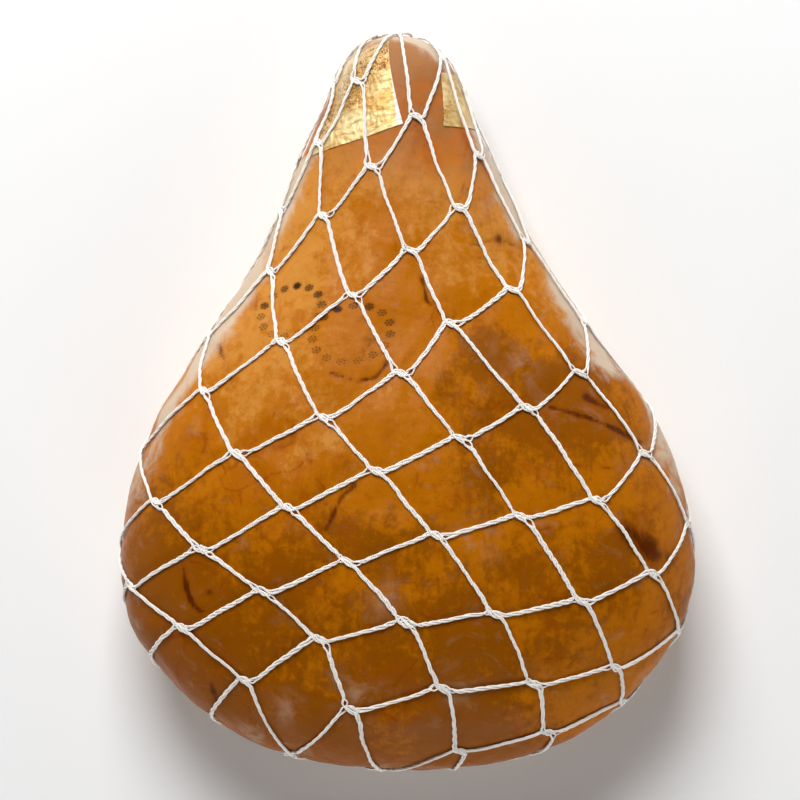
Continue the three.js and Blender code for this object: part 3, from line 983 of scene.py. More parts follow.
class Shader:
    """Builds one node material. Each method adds a node and returns an output socket."""

    def __init__(self, name: str) -> None:
        """Starts a material with a Principled shader."""
        self.material = bpy.data.materials.new(name)
        self.material.use_nodes = True
        self.nodes = self.material.node_tree.nodes
        self.links = self.material.node_tree.links
        self.surface = self.nodes["Principled BSDF"]

    def node(self, kind: str, **values: object) -> bpy.types.Node:
        """Adds a node and sets its properties."""
        made = self.nodes.new(kind)
        for key, value in values.items():
            setattr(made, key, value)
        return made

    def feed(self, target: Socket, value: object) -> None:
        """Links a socket, or sets its value if it isn't given a socket."""
        if isinstance(value, Socket):
            self.links.new(value, target)
        else:
            target.default_value = value

    def set(self, **values: object) -> None:
        """Sets or links inputs of the Principled shader; underscores stand for spaces."""
        for key, value in values.items():
            self.feed(self.surface.inputs[key.replace("_", " ")], value)

    def place(self) -> Socket:
        """Object coordinates."""
        return self.node("ShaderNodeTexCoord").outputs["Object"]

    def attribute(self, name: str, output: str = "Fac") -> Socket:
        """A value stored on the mesh, or a place stored there if the output is Vector."""
        return self.node("ShaderNodeAttribute", attribute_name=name).outputs[output]

    def split(self, vector: Socket) -> tuple[Socket, Socket]:
        """The first two numbers of a place."""
        made = self.node("ShaderNodeSeparateXYZ")
        self.feed(made.inputs[0], vector)
        return made.outputs[0], made.outputs[1]

    def stretched(self, vector: Socket, turn: float,
                  scale: tuple[float, float, float]) -> Socket:
        """Turns a place about Z, in radians, and scales it, for patterns with a grain."""
        made = self.node("ShaderNodeMapping")
        self.feed(made.inputs["Vector"], vector)
        made.inputs["Rotation"].default_value = (0.0, 0.0, turn)
        made.inputs["Scale"].default_value = scale
        return made.outputs[0]

    def noise(self, vector: Socket, scale: float, detail: float = 3.0,
              rough: float = 0.5, distortion: float = 0.0) -> Socket:
        """Noise of 0 to 1; scale is in cells a metre for Object coordinates."""
        made = self.node("ShaderNodeTexNoise")
        self.feed(made.inputs["Vector"], vector)
        for key, value in (("Scale", scale), ("Detail", detail), ("Roughness", rough),
                           ("Distortion", distortion)):
            made.inputs[key].default_value = value
        return made.outputs["Fac"]

    def ramp(self, value: Socket, low: float, high: float, start: float = 0.0,
             end: float = 1.0) -> Socket:
        """Maps low..high smoothly to start..end, clamped."""
        made = self.node("ShaderNodeMapRange", interpolation_type="SMOOTHSTEP")
        self.feed(made.inputs["Value"], value)
        for key, number in (("From Min", low), ("From Max", high), ("To Min", start), ("To Max", end)):
            made.inputs[key].default_value = number
        return made.outputs["Result"]

    def math(self, operation: str, first: object, second: object = 0.0) -> Socket:
        """One arithmetic step."""
        made = self.node("ShaderNodeMath", operation=operation)
        self.feed(made.inputs[0], first)
        self.feed(made.inputs[1], second)
        return made.outputs[0]

    def mix(self, share: object, first: object, second: object, blend: str = "MIX") -> Socket:
        """Mixes two colours."""
        made = self.node("ShaderNodeMix", data_type="RGBA", blend_type=blend)
        self.feed(made.inputs[0], share)
        self.feed(made.inputs[6], first)
        self.feed(made.inputs[7], second)
        return made.outputs[2]

    def tint(self, share: object, colour: object, other: Colour) -> Socket:
        """Mixes some of a display colour into a colour."""
        return self.mix(share, colour, linear(*other))

    def stirred(self, value: object, pattern: Socket, amount: float) -> Socket:
        """Adds a noise pattern to a value, as -amount to amount."""
        return self.math("ADD", value, self.ramp(pattern, 0.3, 0.7, -amount, amount))

    def bump(self, height: Socket, distance: float, strength: float) -> Socket:
        """Bends the normal by a height; distance is the height of 1, in metres."""
        made = self.node("ShaderNodeBump")
        made.inputs["Strength"].default_value = strength
        made.inputs["Distance"].default_value = distance
        self.feed(made.inputs["Height"], height)
        return made.outputs["Normal"]


@dataclass(frozen=True)
class BurntRing:
    """A plain oval of small burnt rosettes, each six pits about a seventh.

    Lengths are millimetres on the unrolled rind, from the middle of the two rings.
    """

    middle: tuple[float, float]
    half_width: float
    half_length: float
    rosettes: int
    seed: float
    pits: int = 6
    rosette_radius: float = 1.75
    pit_radius: float = 0.72
    pit_edge: tuple[float, float] = (0.75, 1.75)
    halo: tuple[float, float] = (1.0, 3.3)
    # turn from one rosette to the next, in pits
    rosette_turn: float = 0.37
    # the ring is fainter towards the butt
    fade: tuple[float, ...] = (-0.6, 0.9, 1.0, 0.5)
    least_burn: float = 0.6
    ragged: float = 0.7

    def mask(self, s: Shader) -> Socket:
        """How burnt the rind is, 0 to 1.

        The oval's angle is cut into one cell per rosette, and the angle in each rosette into one cell
        per pit, so the distance to the middle of a cell draws them all.
        """
        x, y = s.split(s.attribute("unrolled", "Vector"))
        x = s.math("DIVIDE", s.math("SUBTRACT", x, self.middle[0]), self.half_width)
        y = s.math("DIVIDE", s.math("SUBTRACT", y, self.middle[1]), self.half_length)
        around, ratio = self._polar(s, x, y)
        around = s.math("MULTIPLY", around, self.rosettes)
        cell = s.math("FLOOR", around)
        mean = (self.half_width + self.half_length) / 2.0
        across = s.math("MULTIPLY", self._centred(s, around), TAU * mean / self.rosettes)
        outwards = s.math("MULTIPLY", s.math("SUBTRACT", ratio, 1.0), mean)
        turn, distance = self._polar(s, across, outwards)
        turn = s.math("MULTIPLY", turn, self.pits)
        turn = s.math("ADD", turn, s.math("MULTIPLY", cell, self.rosette_turn))
        aside = s.math("MULTIPLY", self._centred(s, turn), TAU * self.rosette_radius / self.pits)
        _, to_pit = self._polar(s, aside, s.math("SUBTRACT", distance, self.rosette_radius))
        nearest = s.math("MINIMUM", to_pit, distance)
        chance = s.node("ShaderNodeTexWhiteNoise", noise_dimensions="1D")
        s.feed(chance.inputs["W"], s.math("ADD", cell, self.seed))
        burn = s.ramp(chance.outputs["Value"], 0.0, 1.0, self.least_burn, 1.0)
        strength = s.math("MULTIPLY", burn, s.ramp(y, *self.fade))
        ragged = s.math("MULTIPLY", s.noise(s.place(), 900.0, 2.0), self.ragged)
        inner, outer = (self.pit_radius * share for share in self.pit_edge)
        pits = s.ramp(s.math("ADD", nearest, ragged), inner, outer, 1.0, 0.0)
        halo = s.ramp(distance, *self.halo, 1.0, 0.0)
        halo = s.math("MULTIPLY", halo, s.math("MULTIPLY", strength, strength))
        pits = s.math("MULTIPLY", pits, s.math("POWER", strength, 0.6))
        return s.math("MAXIMUM", pits, halo)

    @staticmethod
    def _polar(s: Shader, x: object, y: object) -> tuple[Socket, Socket]:
        """Angle of a place as 0 to 1, and its distance from the middle."""
        angle = s.math("ADD", s.math("DIVIDE", s.math("ARCTAN2", y, x), TAU), 0.5)
        square = s.math("ADD", s.math("MULTIPLY", x, x), s.math("MULTIPLY", y, y))
        return angle, s.math("SQRT", square)

    @staticmethod
    def _centred(s: Shader, value: Socket) -> Socket:
        """Where a value lies in its cell of one, from -0.5 to 0.5."""
        return s.math("SUBTRACT", s.math("FRACT", value), 0.5)


@dataclass(frozen=True)
class RindFinish:
    """Amber cured rind with mottling, stains, whitish patches and burnt rings; fat and lean underneath.
    Painted light: the amber deepens towards the butt partly as painted shade, the whitish patches are partly
    painted glints, and a whitish sheen is painted on the steep sides as a reflection.
    """

    light: Colour = (196, 130, 52)
    amber: Colour = (178, 102, 2)
    deep: Colour = (138, 75, 0)
    russet: Colour = (152, 70, 2)
    shank: Colour = (144, 94, 58)
    shank_warm: Colour = (176, 92, 32)
    tip: Colour = (156, 116, 80)
    vein: Colour = (122, 48, 0)
    stain: Colour = (70, 24, 0)
    # colour of the whitish patches: partly a whitish deposit, partly painted glints
    bloom_and_glint: Colour = (184, 148, 120)
    # colour of the painted reflection on the steep sides
    painted_rim_sheen: Colour = (204, 186, 164)
    scorch: Colour = (30, 13, 2)
    fat: Colour = (222, 184, 122)
    old_fat: Colour = (206, 152, 78)
    lean: Colour = (98, 30, 18)
    marbled: Colour = (126, 54, 36)
    # how far the cells of the veins are bent, in metres, and a vein's width as a share of a cell
    vein_bend: float = 0.016
    vein_width: float = 0.035
    rings: tuple[BurntRing, ...] = (
        BurntRing((-17.0, -6.5), 17.5, 14.0, 14, 3.0),
        BurntRing((19.5, 6.5), 20.5, 15.5, 15, 41.0),
    )

    def build(self) -> Material:
        """Makes the material."""
        s = Shader("cured_rind")
        at = s.place()
        patches = s.noise(at, 15.0, 5.0, 0.6, 0.8)
        mottle = s.noise(at, 58.0, 7.0, 0.68, 0.6)
        streaks = s.noise(s.stretched(at, 0.5, (1.0, 0.35, 1.0)), 120.0, 6.0, 0.65, 0.9)
        grain = s.noise(at, 420.0, 4.0, 0.6)
        colour = self._skin_colour(s, patches, mottle, streaks, grain)
        # whitish patches: partly a whitish deposit on the rind, partly painted glints
        bloom_and_glint = s.math("MULTIPLY", s.attribute("bloom_and_glint"), s.ramp(mottle, 0.42, 0.62))
        colour = s.tint(bloom_and_glint, colour, self.bloom_and_glint)
        # painted reflection: a whitish sheen painted on the steep sides
        painted_rim_sheen = s.stirred(s.attribute("painted_rim_sheen"), mottle, 0.25)
        colour = s.tint(s.ramp(painted_rim_sheen, 0.12, 0.8, 0.0, 0.85), colour, self.painted_rim_sheen)
        soft = s.attribute("stain")
        colour = s.tint(s.math("MULTIPLY", soft, 0.55), colour, self.vein)
        colour = s.tint(s.ramp(s.stirred(soft, streaks, 0.2), 0.28, 0.9, 0.0, 0.85), colour, self.stain)
        fat = s.tint(s.ramp(mottle, 0.35, 0.7), linear(*self.fat), self.old_fat)
        fibre = s.noise(s.stretched(at, 0.2, (1.0, 0.3, 1.0)), 150.0, 6.0, 0.65, 1.2)
        lean = s.tint(s.ramp(fibre, 0.45, 0.64), linear(*self.lean), self.marbled)
        colour = s.mix(s.attribute("fat"), colour, fat)
        colour = s.mix(s.attribute("lean"), colour, lean)
        burnt = s.math("MAXIMUM", self.rings[0].mask(s), self.rings[1].mask(s))
        burnt = s.math("MULTIPLY", burnt, s.attribute("markable"))
        colour = s.tint(s.math("MULTIPLY", burnt, 0.96), colour, self.scorch)
        relief = s.math("ADD", s.math("MULTIPLY", grain, 0.45), s.math("MULTIPLY", mottle, 1.3))
        relief = s.math("ADD", relief, s.math("MULTIPLY", streaks, 0.6))
        relief = s.math("SUBTRACT", relief, s.math("MULTIPLY", burnt, 0.5))
        s.set(Base_Color=colour, Normal=s.bump(relief, 0.0005, 0.45))
        s.set(Roughness=s.ramp(mottle, 0.3, 0.7, 0.3, 0.42))
        s.set(Subsurface_Weight=0.08, Subsurface_Scale=0.003, Subsurface_Radius=(1.0, 0.36, 0.1))
        s.set(Specular_IOR_Level=0.06, Sheen_Weight=0.05, Sheen_Roughness=0.3)
        return s.material

    def _skin_colour(self, s: Shader, patches: Socket, mottle: Socket,
                     streaks: Socket, grain: Socket) -> Socket:
        """The rind's colour: light, amber or deep by a depth that grows towards the butt, partly the rind's
        own colour and partly painted shade where the light falls off, then the worn shank and warm patches.
        """
        tone_and_shade = s.math("ADD", s.attribute("tone_and_shade"), s.ramp(patches, 0.32, 0.68, -0.17, 0.17))
        fine = s.noise(s.place(), 230.0, 6.0, 0.7)
        for pattern, amount in ((mottle, 0.17), (streaks, 0.12), (fine, 0.14)):
            tone_and_shade = s.stirred(tone_and_shade, pattern, amount)
        # light, amber and deep follow a depth that is partly the rind's own colour and partly painted shade
        # towards the butt
        colour = s.tint(s.ramp(tone_and_shade, -0.1, 0.4), linear(*self.light), self.amber)
        colour = s.tint(s.ramp(tone_and_shade, 0.5, 1.0), colour, self.deep)
        worn = s.tint(s.ramp(mottle, 0.36, 0.64), linear(*self.shank_warm), self.shank)
        colour = s.mix(s.attribute("shank"), colour, worn)
        colour = s.tint(s.attribute("tip"), colour, self.tip)
        warm = s.noise(s.place(), 24.0, 6.0, 0.65, 1.5)
        colour = s.tint(s.ramp(warm, 0.52, 0.72, 0.0, 0.5), colour, self.russet)
        return self._veined(s, colour, warm, grain)

    def _veined(self, s: Shader, colour: Socket, warm: Socket, grain: Socket) -> Socket:
        """Fine veins along the edges of bent cells, where the rind is warm, and a dark grain."""
        cracks = s.node("ShaderNodeTexVoronoi", feature="DISTANCE_TO_EDGE")
        bent = s.node("ShaderNodeTexNoise")
        bent.inputs["Scale"].default_value = 60.0
        bent.inputs["Detail"].default_value = 4.0
        s.feed(bent.inputs["Vector"], s.place())
        away = s.node("ShaderNodeVectorMath", operation="MULTIPLY_ADD")
        s.feed(away.inputs[0], bent.outputs["Color"])
        away.inputs[1].default_value = (self.vein_bend,) * 3
        s.feed(away.inputs[2], s.place())
        s.feed(cracks.inputs["Vector"], away.outputs[0])
        cracks.inputs["Scale"].default_value = 26.0
        thin = s.ramp(cracks.outputs["Distance"], 0.0, self.vein_width, 1.0, 0.0)
        thin = s.math("MULTIPLY", thin, s.ramp(warm, 0.5, 0.64, 0.0, 0.4))
        colour = s.tint(thin, colour, self.vein)
        return s.tint(s.ramp(grain, 0.56, 0.8, 0.0, 0.35), colour, self.vein)


@dataclass(frozen=True)
class CottonFinish:
    """Undyed cotton yarn, with the twist of its fibres running round it, painted shade in the grooves of the
    twist and soiled patches.
    """

    name: str
    colour: Colour
    shade: Colour
    twist: float = 2.4

    def build(self) -> Material:
        """Makes the material; the UV map holds millimetres along and the fraction round."""
        s = Shader(self.name)
        along, around = s.split(s.node("ShaderNodeUVMap", uv_map="UVMap").outputs["UV"])
        turns = s.math("ADD", s.math("DIVIDE", along, self.twist), around)
        ridge = s.math("SINE", s.math("MULTIPLY", turns, 2.0 * TAU))
        fuzz = s.noise(s.place(), 2600.0, 2.0, 0.6)
        soil = s.noise(s.place(), 120.0, 3.0, 0.6)
        # painted shade: the grooves of the twist take the darker colour; the same colour also marks random
        # soiled patches
        colour = s.tint(s.ramp(ridge, -1.0, 0.4, 0.5, 0.0), linear(*self.colour), self.shade)
        colour = s.tint(s.ramp(soil, 0.55, 0.85, 0.0, 0.3), colour, self.shade)
        height = s.math("ADD", ridge, s.math("MULTIPLY", fuzz, 1.2))
        s.set(Base_Color=colour, Roughness=0.88, Normal=s.bump(height, 0.00012, 0.8))
        s.set(Sheen_Weight=0.2, Sheen_Roughness=0.5, Specular_IOR_Level=0.25)
        return s.material


@dataclass(frozen=True)
class FoilFinish:
    """Thin gold foil, tarnished brown in specks, darker along a band as painted shade, with its white paper
    backing at one edge.
    """

    bright: Colour = (232, 208, 150)
    gold: Colour = (200, 154, 78)
    # colour of the painted reflection carried over from the rind's steep sides
    painted_rim_sheen: Colour = (218, 200, 176)
    tarnish_and_shade: Colour = (118, 62, 20)
    paper: Colour = (236, 232, 226)
    metal: float = 0.4

    def build(self) -> Material:
        """Makes the material."""
        s = Shader("gold_foil")
        at = s.place()
        cloud = s.noise(at, 90.0, 5.0, 0.65, 0.8)
        speck = s.noise(at, 520.0, 5.0, 0.7, 1.0)
        colour = s.tint(s.ramp(cloud, 0.35, 0.65), linear(*self.bright), self.gold)
        # a band that darkens the gold as painted shade, where the brown specks also gather
        old = s.stirred(s.attribute("tarnish_and_shade"), cloud, 0.25)
        specks = s.math("MULTIPLY", s.ramp(speck, 0.47, 0.6), s.ramp(old, 0.15, 0.75, 0.08, 1.0))
        colour = s.tint(s.math("MULTIPLY", old, 0.7), colour, self.gold)
        colour = s.tint(specks, colour, self.tarnish_and_shade)
        paper = s.attribute("paper")
        colour = s.tint(paper, colour, self.paper)
        # painted reflection: the whitish sheen of the steep sides, which also takes away the metal
        painted_rim_sheen = s.math("MULTIPLY", s.attribute("painted_rim_sheen"), 0.75)
        colour = s.tint(painted_rim_sheen, colour, self.painted_rim_sheen)
        covered = s.math("MINIMUM", s.math("ADD", paper, painted_rim_sheen), 1.0)
        metal = s.math("SUBTRACT", self.metal, s.math("MULTIPLY", covered, self.metal))
        crinkle = s.noise(at, 950.0, 4.0, 0.65, 0.8)
        s.set(Base_Color=colour, Metallic=metal, Normal=s.bump(crinkle, 0.0003, 0.9))
        s.set(Roughness=s.ramp(speck, 0.3, 0.7, 0.36, 0.5))
        return s.material


# ---------------------------------------------------------------- the ham


@dataclass(frozen=True)
class Mark:
    """A stain or crease on the rind: a soft line through places seen from above.

    path holds (x, y) in millimetres; width is its half width, dark how far it stains and deep how
    far it sinks.
    """

    path: tuple[tuple[float, float], ...]
    width: float
    dark: float
    deep: float = 0.0


@dataclass
class Ham:
    """The ham itself, one closed mesh with relief, stains and the flesh side underneath."""

    skin: Skin
    net: Net
    columns: int = 336
    rings: int = 288
    crown_share: float = 0.35
    seed: int = 5
    ring_turn: float = 0.412
    ring_along: float = 180.0
    groove_width: float = 2.3
    pillow: float = 0.8
    pillow_width: float = 7.0
    pillow_level: float = 0.6
    # distance from the tip where the rind starts to swell between the strands, and swells in full
    pillow_reach: tuple[float, float] = (-25.0, 155.0)
    # height and scale of the wrinkles, which are longer along the ham
    wrinkles: tuple[float, float] = (0.2, 11.0)
    fine_wrinkles: tuple[float, float] = (0.08, 4.5)
    wrinkle_stretch: tuple[float, float, float] = (1.0, 0.55, 1.0)
    # heights between which the skin comes off the table
    table_blend: tuple[float, float] = (2.5, 0.3)
    # the amber deepens towards the butt from this start over this length: partly the rind's own colour,
    # partly painted shade
    tone_and_shade_start: float = 76.0
    tone_and_shade_length: float = 225.0
    bloom_and_glint_share: float = 0.45
    # how far in from the outline the fat and the lean begin underneath
    under_slope: tuple[float, float] = (0.1, -0.7)
    fat_inset: tuple[float, float] = (4.0, 9.0)
    lean_inset: tuple[float, float] = (18.0, 23.0)
    shank_reach: tuple[float, float] = (95.0, 150.0)
    tip_reach: tuple[float, float] = (160.0, 195.0)
    # where the painted reflection lies: a whitish sheen painted on the steep sides
    painted_rim_sheen_slope: tuple[float, float] = (0.8, 0.32)
    painted_rim_sheen_reach: tuple[float, float] = (-95.0, 25.0)
    painted_rim_sheen_least: float = 0.15
    painted_rim_sheen_breaks: tuple[float, float] = (-0.9, 0.3)
    painted_rim_sheen_scale: float = 36.0
    # height and scale of the waves in the border between rind, fat and lean
    border: tuple[float, float] = (8.0, 60.0)
    fine_border: tuple[float, float] = (2.0, 14.0)
    fat_border: float = 0.4
    shank_wear: float = 0.8
    shank_slant: float = 0.25
    tip_wear: float = 0.7
    seam_depth: float = 1.6
    seam_width: float = 2.6
    seam_fat: float = 0.5
    seam_fat_width: float = 2.0
    seam: tuple[tuple[float, float], ...] = (
        (4.0, 150.0), (-2.0, 90.0), (6.0, 30.0), (-4.0, -30.0), (3.0, -75.0),
    )
    mark_wander: float = 0.5
    mark_scale: float = 9.0
    marks: tuple[Mark, ...] = (
        Mark(((8, 65), (11, 54), (22, 43)), 1.2, 0.7, 0.5),
        Mark(((49, 86),), 4.0, 0.8, 0.3),
        Mark(((35, 83), (48, 86), (62, 82)), 1.4, 0.55, 0.3),
        Mark(((96, 2), (106, -3)), 2.6, 0.85, 0.3),
        Mark(((76, -3), (97, -9), (125, -22)), 1.8, 0.85, 0.3),
        Mark(((88, -34), (107, -36)), 1.5, 0.6),
        Mark(((118, -70), (132, -82)), 7.0, 0.8, 0.3),
        Mark(((114, -106),), 5.0, 0.5),
        Mark(((-100, 29), (-96, 20), (-92, 6)), 1.6, 0.65, 0.4),
        Mark(((-106, 0), (-108, -26)), 1.6, 0.5, 0.3),
        Mark(((-40, 14), (-26, 10), (-16, 12), (-11, 19)), 1.3, 0.75, 0.3),
        Mark(((-27, -44), (-34, -50), (-42, -67)), 1.8, 0.72, 0.3),
        Mark(((-119, -89), (-117, -100), (-112, -109), (-108, -112)), 1.6, 0.85, 0.4),
        Mark(((-104, -101),), 2.2, 0.85),
        Mark(((-90, -107),), 2.0, 0.5),
        Mark(((-104, -150), (-102, -160)), 1.5, 0.75, 0.3),
        Mark(((-112, -68),), 4.0, 0.5),
        Mark(((-32, -34),), 5.0, 0.4),
        Mark(((-9, -17),), 4.0, 0.4),
    )
    # x, y, radius of whitish patches: partly a whitish deposit on the rind, partly painted glints
    blooms_and_glints: tuple[tuple[float, float, float], ...] = (
        (-26, -154, 12), (-64, -164, 9), (-82, -175, 8), (-12, -102, 8), (27, -149, 9),
        (34, -73, 10), (-108, 28, 8), (60, 20, 9), (120, -30, 9),
    )
    # x, y, radius, how much deeper the amber is; patches that deepen or lighten it, partly the rind's own
    # colour and partly painted shade and painted light
    shades: tuple[tuple[float, float, float, float], ...] = (
        (48, 16, 36, 0.75), (-140, -78, 42, 0.3), (118, -150, 45, -0.5), (-60, 5, 50, -0.3),
        (-20, 35, 30, 0.6), (94, 11, 22, 0.75), (-4, 98, 26, 0.35), (18, -97, 16, -0.1),
        (-63, -87, 18, 0.4), (-25, -70, 14, 0.2), (62, -87, 16, 0.3), (-14, -135, 16, 0.25),
        (73, -130, 16, 0.2), (-3, -179, 16, -0.3), (83, -163, 18, -0.15), (78, -22, 24, 0.35),
        (42, -40, 18, 0.3), (112, -18, 20, 0.5), (104, -78, 18, 0.25), (40, 26, 14, 0.3),
    )

    def build(self, material: Material) -> None:
        """Makes the mesh and its attributes."""
        turn, along = self._grid()
        points = self.skin.place(turn, along).reshape(-1, 3)
        normals = self.skin.normal(turn, along).reshape(-1, 3)
        masks, sink = self._masks(points, normals)
        masks["unrolled"] = self._unrolled(turn, along)
        moved = points + normals * (self.heights(points, normals) - sink)[:, None]
        seam = self._line_distance(points[:, :2], np.array(self.seam))
        moved[:, 2] = np.maximum(moved[:, 2], 0.0)
        moved[:, 2] += self._resting(points) * self.seam_depth * bell(seam, self.seam_width)
        masks["lean"] = masks["lean"] * (1.0 - self.seam_fat * bell(seam, self.seam_fat_width))
        ends = self.skin.place(np.zeros(2), np.array([0.0, self.skin.crest_length]))
        attributes = {key: np.concatenate([value, 0.0 * value[:2]]) for key, value in masks.items()}
        vertices = np.concatenate([moved, ends])
        faces = closed_rings(self.rings, self.columns, True)
        piece = make_piece("ham_body", vertices, faces, material, attributes)
        finish_piece(piece, Slot.RIND, "ham")

    def heights(self, points: Array, normals: Array) -> Array:
        """Height of the finished rind over the smooth skin: lumps and wrinkles, less the net's dents.

        Args:
            points: places on the smooth skin, neighbours together.
            normals: outward unit vectors there.

        Returns:
            Heights along the normals.
        """
        lumps = self.skin.lumps(points, normals)
        distance, press = self.net.nearest(points + normals * lumps[:, None])
        high, scale = self.wrinkles
        wrinkles = high * Ripple(scale, self.seed + 2)(points * np.array(self.wrinkle_stretch))
        high, scale = self.fine_wrinkles
        wrinkles += high * Ripple(scale, self.seed + 3)(points)
        swell = self.pillow * (self.pillow_level - bell(distance, self.pillow_width))
        swell *= smoothstep(*self.pillow_reach, self.skin.length / 2.0 - points[:, 1])
        relief = (lumps + wrinkles + swell) * (1.0 - self._resting(points))
        return relief - np.maximum(press, 0.0) * bell(distance, self.groove_width)

    def _resting(self, points: Array) -> Array:
        """1 where the smooth skin lies on the table, 0 a little above it."""
        return smoothstep(*self.table_blend, points[:, 2])

    def _grid(self) -> tuple[Array, Array]:
        """Turn and along of the mesh, with closer columns on the crown than underneath."""
        even = np.arange(self.columns) / self.columns
        turn = even + self.crown_share * np.sin(TAU * even) / TAU
        rings = (np.arange(self.rings) + 0.5) / self.rings * self.skin.crest_length
        return np.broadcast_arrays(turn[None], rings[:, None])

    def _unrolled(self, turn: Array, along: Array) -> Array:
        """Millimetres round and along the rind from the middle of the two burnt rings."""
        around = (turn - self.ring_turn) * self.skin.girth(along)
        return np.stack([around, along - self.ring_along, 0.0 * along], axis=-1).reshape(-1, 3)

    def _masks(self, points: Array, normals: Array) -> tuple[dict[str, Array], Array]:
        """Attribute values: depth of the amber with painted shade, stains, whitish patches with painted
        glints, the painted reflection on the steep sides and the flesh side; and how far the marks sink.
        """
        x, y, _ = points.T
        topness = facing_up(normals)
        stain, sink = np.zeros(len(points)), np.zeros(len(points))
        wander = Ripple(self.mark_scale, self.seed + 7)(points)
        for mark in self.marks:
            gap = self._line_distance(points[:, :2], np.array(mark.path, float))
            shape = bell(np.maximum(gap + self.mark_wander * wander, 0.0), mark.width) * topness
            stain = np.maximum(stain, mark.dark * shape)
            sink = np.maximum(sink, mark.deep * shape)
        # painted shade: the amber deepens towards the butt and in the listed patches, partly as the rind's
        # own colour
        bloom_and_glint, tone_and_shade = np.zeros(len(points)), (self.tone_and_shade_start - y) / self.tone_and_shade_length
        # whitish patches: partly a whitish deposit on the rind, partly painted glints
        for bloom_and_glint_x, bloom_and_glint_y, radius in self.blooms_and_glints:
            bloom_and_glint = np.maximum(bloom_and_glint, bell(np.hypot(x - bloom_and_glint_x, y - bloom_and_glint_y), radius))
        for shade_x, shade_y, radius, amount in self.shades:
            tone_and_shade = tone_and_shade + amount * bell(np.hypot(x - shade_x, y - shade_y), radius)
        (wave, scale), (fine_wave, fine_scale) = self.border, self.fine_border
        edge = wave * Ripple(scale, self.seed + 8)(points)
        edge = edge + fine_wave * Ripple(fine_scale, self.seed + 9)(points)
        under = smoothstep(*self.under_slope, normals[:, 2])
        inset = self._inset(points)
        masks = {
            "stain": stain, "bloom_and_glint": self.bloom_and_glint_share * bloom_and_glint * topness, "tone_and_shade": tone_and_shade,
            "painted_rim_sheen": self.painted_rim_sheen(points, normals),
            "fat": under * smoothstep(*self.fat_inset, inset + edge * self.fat_border),
            "lean": under * smoothstep(*self.lean_inset, inset + edge),
            "shank": self.shank_wear * smoothstep(*self.shank_reach, y + self.shank_slant * x),
            "tip": self.tip_wear * smoothstep(*self.tip_reach, y),
            "markable": topness,
        }
        return masks, sink

    def painted_rim_sheen(self, points: Array, normals: Array) -> Array:
        """Painted reflection: a whitish sheen painted on the steep sides, strongest towards the shank and
        broken here and there.
        """
        steep = smoothstep(*self.painted_rim_sheen_slope, normals[:, 2])
        breaks = smoothstep(*self.painted_rim_sheen_breaks, Ripple(self.painted_rim_sheen_scale, self.seed + 11)(points))
        towards = smoothstep(*self.painted_rim_sheen_reach, points[:, 1])
        return steep * breaks * (self.painted_rim_sheen_least + (1.0 - self.painted_rim_sheen_least) * towards)

    def _inset(self, points: Array) -> Array:
        """Distance inwards from the outline seen from above, in round terms."""
        level = self.skin.places
        outline = np.stack([np.abs(level[..., 0]).max(axis=1), level[:, 0, 1]], axis=1)
        half = np.interp(-points[:, 1], -outline[:, 1], outline[:, 0])
        ends = np.minimum(self.skin.length / 2.0 - points[:, 1], self.skin.length / 2.0 + points[:, 1])
        return np.minimum(half - np.abs(points[:, 0]), ends)

    @staticmethod
    def _line_distance(places: Array, line: Array) -> Array:
        """Distance from places in a plane to a polyline, or to its one point."""
        if len(line) == 1:
            return np.linalg.norm(places - line[0], axis=1)
        best = np.full(len(places), np.inf)
        for first, last in zip(line[:-1], line[1:]):
            way = last - first
            t = np.clip((places - first) @ way / (way @ way), 0.0, 1.0)
            best = np.minimum(best, np.linalg.norm(places - first - t[:, None] * way, axis=1))
        return best


